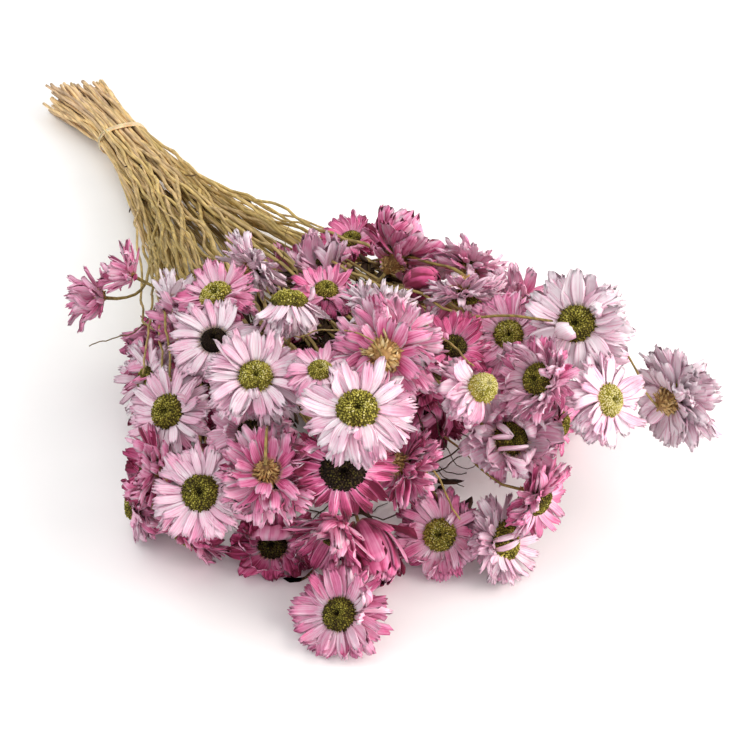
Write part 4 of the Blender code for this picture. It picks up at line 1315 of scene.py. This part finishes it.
def leaf_and_shade_material():
    """Shrivelled leaf: dull olive brown made dark as painted shade for the heap's gaps,
    papery and matt, with blotches 4 mm wide.
    """
    return toned_material(
        "shrivelled leaf", (("seed", 0.6), ((260.0, 3.0), 0.7), -0.3),
        ((0.0, linear("24150f")), (0.35, linear("443024")), (0.65, linear("64502f")),
         (1.0, linear("94825a"))), Roughness=0.75, Specular_IOR_Level=0.2)


def rubber_material():
    """Natural rubber band: smooth, pale amber and slightly see-through, a satin gloss.

    It is clouded every 3 mm.
    """
    return toned_material(
        "natural rubber", (((300.0, 2.0), 1.0),),
        ((0.3, linear("cfae7e")), (0.7, linear("e6cfa6"))),
        Roughness=0.38, Subsurface_Weight=0.25, Subsurface_Scale=0.002)


def card_material():
    """A sheet of matt white card, faintly clouded every 33 mm."""
    return toned_material(
        "white card", (((30.0, 2.0), 1.0),),
        ((0.3, linear("fafafa")), (0.7, linear("fdfdfd"))),
        Roughness=0.9, Specular_IOR_Level=0.1)


# ---- settings -------------------------------------------------------------------------
def length_setting(name, description, default):
    """A length in metres that the sidebar shows in the scene's unit."""
    return bpy.props.FloatProperty(name=name, description=description, default=default,
                                   min=0.0, unit="LENGTH", precision=5)


def share_setting(name, description, default, least, most):
    """A part or multiple of something else's size."""
    return bpy.props.FloatProperty(name=name, description=description, default=default,
                                   min=least, max=most, subtype="FACTOR")


def count_setting(name, description, default, least, most):
    """A whole number of parts."""
    return bpy.props.IntProperty(name=name, description=description, default=default,
                                 min=least, max=most)


def angle_setting(name, description, degrees):
    """An angle, given in degrees."""
    return bpy.props.FloatProperty(name=name, description=description,
                                   default=math.radians(degrees), subtype="ANGLE",
                                   unit="ROTATION")


def colour_setting(name, description, code):
    """A colour with its alpha, given as six figures of sRGB."""
    return bpy.props.FloatVectorProperty(name=name, description=description, size=4,
                                         default=linear(code), min=0.0, max=1.0,
                                         subtype="COLOR")


class EverlastingSizes(bpy.types.PropertyGroup):
    """Sizes and counts of the parts of the bunch."""

    ray_length: share_setting(
        "Ray length", "Length of the rays against their usual length", 1.0, 0.3, 1.5)
    ray_width: share_setting(
        "Ray width", "Width of the rays against their usual width", 1.0, 0.3, 2.0)
    ray_thickness: length_setting("Ray thickness", "Thickness of a papery ray", 0.22 * MM)
    disc_width: share_setting(
        "Disc width", "Width of the disc as a part of the head's width", 0.37, 0.1, 0.8)
    florets: count_setting("Florets", "Florets on the disc of an open head", 340, 20, 600)
    scales: count_setting("Scales", "Straw scales behind a head", 140, 0, 200)
    stem_thickness: length_setting("Stem thickness", "Diameter of a dry stem", 2.0 * MM)
    waviness: length_setting("Waviness", "How far a stem wanders sideways", 1.35 * MM)
    spare_stems: count_setting(
        "Spare stems", "Short stems of each plant with a small bud", 5, 0, 8)
    leaves: count_setting(
        "Leaves", "Dried leaves on each stem low among the flowers", 11, 0, 30)
    shoots: count_setting("Side shoots", "Wiry side shoots on each stem", 3, 0, 12)
    band_width: length_setting("Band width", "Width of one turn of the band", 2.5 * MM)
    band_thickness: length_setting("Band thickness", "Thickness of the band", 0.9 * MM)


class EverlastingColours(bpy.types.PropertyGroup):
    """Colours of the rays and discs."""

    pale: colour_setting("Palest ray", "Face of a bleached ray", "f4e8ef")
    blush: colour_setting("Blush ray", "Face of a light pink ray", "f0c6da")
    rose: colour_setting("Rose ray", "Back of a ray", "e88fb8")
    deep: colour_setting("Deep ray", "Back of a deep pink ray", "cf5589")
    dark: colour_setting("Dark ray", "Darkest magenta ray", "7c1f40")
    straw: colour_setting("Straw", "Foot of a ray from behind", "d9bd8c")
    fresh: colour_setting("Fresh floret", "Tip of a young floret", "c2ba55")
    mustard: colour_setting("Mustard floret", "A floret in its prime", "918935")
    olive: colour_setting("Olive floret", "An ageing floret", "504a1b")
    umber: colour_setting("Ripe floret", "A ripe dry floret", "2c1d11")


class EverlastingStage(bpy.types.PropertyGroup):
    """The lights and the camera."""

    camera_distance: length_setting(
        "Camera distance", "From the middle of the flowers", 0.70)
    camera_turn: angle_setting(
        "Camera turn", "Bearing of the camera round the bunch", -28)
    camera_rise: angle_setting("Camera rise", "Height of the camera as an angle", 35)
    focal_length: bpy.props.FloatProperty(
        name="Focal length", description="Focal length on a 36 mm wide sensor, in mm",
        default=80.6, min=10, max=300)
    soft_light: bpy.props.FloatProperty(
        name="Soft light", description="Strength of the even light from all round",
        default=0.84, min=0.0, max=5.0)
    main_light: bpy.props.FloatProperty(
        name="Main light", description="Power of the large soft lamp in watts",
        default=7.2, min=0.0, max=500.0)


# ---- operators ------------------------------------------------------------------------
def make_flowers(context, add_to, material, kind, small_kind="", smooth=True):
    """One piece for every flower, and one a spray for the small buds of spare stems."""
    sizes = context.scene.everlasting_sizes
    for flower in FLOWERS:
        made = Surfaces()
        add_to(made, flower, sizes)
        add_piece(made, f"{kind}_{flower.number:02d}", material, flower.nodes,
                  smooth)
    for spray, stems in plan_stems(sizes).items() if small_kind else ():
        made = Surfaces()
        for _, flower in stems:
            if flower.is_small:
                add_to(made, flower, sizes)
        if made.count:
            add_piece(made, spray.replace("stem_spray", small_kind), material,
                      [spray])


class EVERLASTING_OT_petals(bpy.types.Operator):
    """Make the rays of every flower"""

    bl_idname = "everlasting.petals"
    bl_label = "Rays"

    def execute(self, context):
        material = bract_material(context.scene.everlasting_colours)
        make_flowers(context, add_rays, material, "petals", "small_buds")
        return {"FINISHED"}


class EVERLASTING_OT_discs(bpy.types.Operator):
    """Make the floret covered disc of every flower"""

    bl_idname = "everlasting.discs"
    bl_label = "Discs"

    def execute(self, context):
        material = floret_material(context.scene.everlasting_colours)
        make_flowers(context, add_disc, material, "disc", smooth=False)
        return {"FINISHED"}


class EVERLASTING_OT_calyces(bpy.types.Operator):
    """Make the straw scales behind every flower"""

    bl_idname = "everlasting.calyces"
    bl_label = "Calyces"

    def execute(self, context):
        make_flowers(context, add_calyx, scale_material(), "calyx",
                     "small_calyces")
        return {"FINISHED"}


class EVERLASTING_OT_stems(bpy.types.Operator):
    """Make the dried stems of every plant"""

    bl_idname = "everlasting.stems"
    bl_label = "Stems"

    def execute(self, context):
        sizes = context.scene.everlasting_sizes
        material = stalk_material()
        for order, (spray, stems) in enumerate(plan_stems(sizes).items()):
            draw = drawing("stems", order)
            made = Surfaces()
            for line, flower in stems:
                thick = sizes.stem_thickness * draw.uniform(0.75, 1.1)
                thick = thick * THIN_STEMS.get(flower.number, 1.0)
                add_stem(made, line, thick, draw)
                add_twigs(made, line, draw, sizes.shoots)
            add_straws(made, spray, draw)
            add_piece(made, spray.replace("stem_spray", "stems"), material,
                      [spray])
        return {"FINISHED"}


class EVERLASTING_OT_leaves(bpy.types.Operator):
    """Make the small dried leaves on the stems"""

    bl_idname = "everlasting.leaves"
    bl_label = "Leaves"

    def execute(self, context):
        sizes = context.scene.everlasting_sizes
        material = leaf_and_shade_material()
        for order, (spray, stems) in enumerate(plan_stems(sizes).items()):
            draw = drawing("leaves", order)
            made = Surfaces()
            for line, _ in stems:
                add_leaves(made, line, draw, sizes.leaves)
            add_piece(made, spray.replace("stem_spray", "leaves"), material,
                      [spray])
        return {"FINISHED"}


def squared(turn, power):
    """Cosine and sine of a turn, their sizes raised to a power for a squarish oval."""
    return [np.sign(wave) * abs(wave) ** power for wave in (np.cos(turn), np.sin(turn))]


def add_band(made, sizes):
    """Two turns of flat rubber round the tied stalks.

    The middle line is the outline of the stalks' own outer edge, pushed out by half the
    band's thickness, run round twice while it slides along the stalks; the section is
    a flat oval, wide along the stalks.
    """
    low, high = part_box("tie_band")
    width, depth = (high - low).x / 2 - BAND_INSET, (high - low).z / 2 - BAND_INSET
    turn = np.linspace(0, 2 * math.tau, BAND_POINTS, endpoint=False)
    x, z = squared(turn, BAND_POWER)
    x, z = width * x, depth * z
    slide = 1.05 * MM * np.cos(turn / 2) + 0.25 * MM * np.sin(turn * 1.5)
    bump = 0.35 * MM * np.cos(turn / 2 + 0.6) ** 2
    out = unit(np.stack((x / width ** 2, np.zeros(BAND_POINTS), z / depth ** 2), axis=1))
    line = np.stack((x, slide, z), axis=1) + out * bump[:, None] + TIE
    flat, thin = squared(np.arange(BAND_SIDES) * math.tau / BAND_SIDES, 0.6)
    rings = (line[:, None] + flat[:, None] * (0, sizes.band_width / 2, 0)
             + thin[:, None] * out[:, None] * sizes.band_thickness / 2)
    grid = np.arange(BAND_POINTS * BAND_SIDES).reshape(BAND_POINTS, BAND_SIDES)
    faces = quads(np.pad(grid, ((0, 1), (0, 1)), "wrap"))
    made.add(rings.reshape(1, -1, 3), [(faces, None, {})])


class EVERLASTING_OT_band(bpy.types.Operator):
    """Make the rubber band round the stalks"""

    bl_idname = "everlasting.band"
    bl_label = "Rubber band"

    def execute(self, context):
        made = Surfaces()
        add_band(made, context.scene.everlasting_sizes)
        add_piece(made, "rubber_band", rubber_material(), ["tie_band"])
        return {"FINISHED"}


def placed_at(name, data, place, toward):
    """A lamp or camera at a place, looking along a direction."""
    made = bpy.data.objects.new(name, data)
    made.location = place
    made.rotation_euler = toward.to_track_quat("-Z", "Y").to_euler()
    bpy.context.scene.collection.objects.link(made)
    return made


class EVERLASTING_OT_stage(bpy.types.Operator):
    """Lay the floor, hang the lights and set up the camera"""

    bl_idname = "everlasting.stage"
    bl_label = "Stage"

    def execute(self, context):
        scene = context.scene
        setting = scene.everlasting_stage
        x, y = np.meshgrid(FLOOR_GRID, FLOOR_GRID)
        points = np.stack((x.ravel(), y.ravel(), np.zeros(x.size)), axis=1)
        mesh = bpy.data.meshes.new("floor")
        mesh.from_pydata(points.tolist(), [],
                         quads(np.arange(x.size).reshape(x.shape)).tolist())
        mesh.materials.append(card_material())
        floor = bpy.data.objects.new("floor", mesh)
        scene.collection.objects.link(floor)

        scene.world = bpy.data.worlds.new("studio")
        scene.world.use_nodes = True
        background = scene.world.node_tree.nodes["Background"].inputs
        background["Color"].default_value = (1.0, 1.0, 1.0, 1.0)
        background["Strength"].default_value = setting.soft_light
        for name, place, size, share, code in LAMPS:
            light = bpy.data.lights.new(name, "AREA")
            light.size = size
            light.energy = setting.main_light * share
            light.color = linear(code)[:3]
            placed_at(name, light, place, Vector(LAMP_AIM) - Vector(place))

        camera = bpy.data.cameras.new("camera")
        camera.sensor_width = 36.0
        camera.lens = setting.focal_length
        camera.clip_start = 0.01
        turn, rise = math.degrees(setting.camera_turn), math.degrees(setting.camera_rise)
        back = Vector(pointing(turn - 90, rise))
        aim = Vector((TIE[0], TIE[1] - CAMERA_AHEAD, CAMERA_AIM_HEIGHT))
        scene.camera = placed_at("camera", camera, aim + back * setting.camera_distance,
                                 -back)
        scene.view_settings.view_transform = "Standard"
        return {"FINISHED"}


class EVERLASTING_PT_panel(bpy.types.Panel):
    """The bunch's settings and operators in the 3D view's sidebar"""

    bl_label = "Everlastings"
    bl_idname = "EVERLASTING_PT_panel"
    bl_space_type = "VIEW_3D"
    bl_region_type = "UI"
    bl_category = "Everlastings"

    def draw(self, context):
        for name, group in GROUPS.items():
            column = self.layout.column(align=True)
            for setting in group.__annotations__:
                column.prop(getattr(context.scene, name), setting)
        for operator in OPERATORS:
            self.layout.operator(operator.bl_idname)


GROUPS = {
    "everlasting_sizes": EverlastingSizes,
    "everlasting_colours": EverlastingColours,
    "everlasting_stage": EverlastingStage,
}
OPERATORS = (EVERLASTING_OT_stems, EVERLASTING_OT_leaves, EVERLASTING_OT_petals,
             EVERLASTING_OT_discs, EVERLASTING_OT_calyces, EVERLASTING_OT_band,
             EVERLASTING_OT_stage)


def register():
    """Register the settings, the operators and the panel."""
    for name, group in GROUPS.items():
        bpy.utils.register_class(group)
        setattr(bpy.types.Scene, name, bpy.props.PointerProperty(type=group))
    for item in (*OPERATORS, EVERLASTING_PT_panel):
        bpy.utils.register_class(item)


def unregister():
    """Take them away again."""
    for item in reversed((*OPERATORS, EVERLASTING_PT_panel)):
        bpy.utils.unregister_class(item)
    for name, group in GROUPS.items():
        delattr(bpy.types.Scene, name)
        bpy.utils.unregister_class(group)


def main():
    """Make every piece."""
    register()
    bpy.ops.everlasting.stems()
    bpy.ops.everlasting.leaves()
    bpy.ops.everlasting.petals()
    bpy.ops.everlasting.discs()
    bpy.ops.everlasting.calyces()
    bpy.ops.everlasting.band()
    bpy.ops.everlasting.stage()


if __name__ == "__main__":
    main()
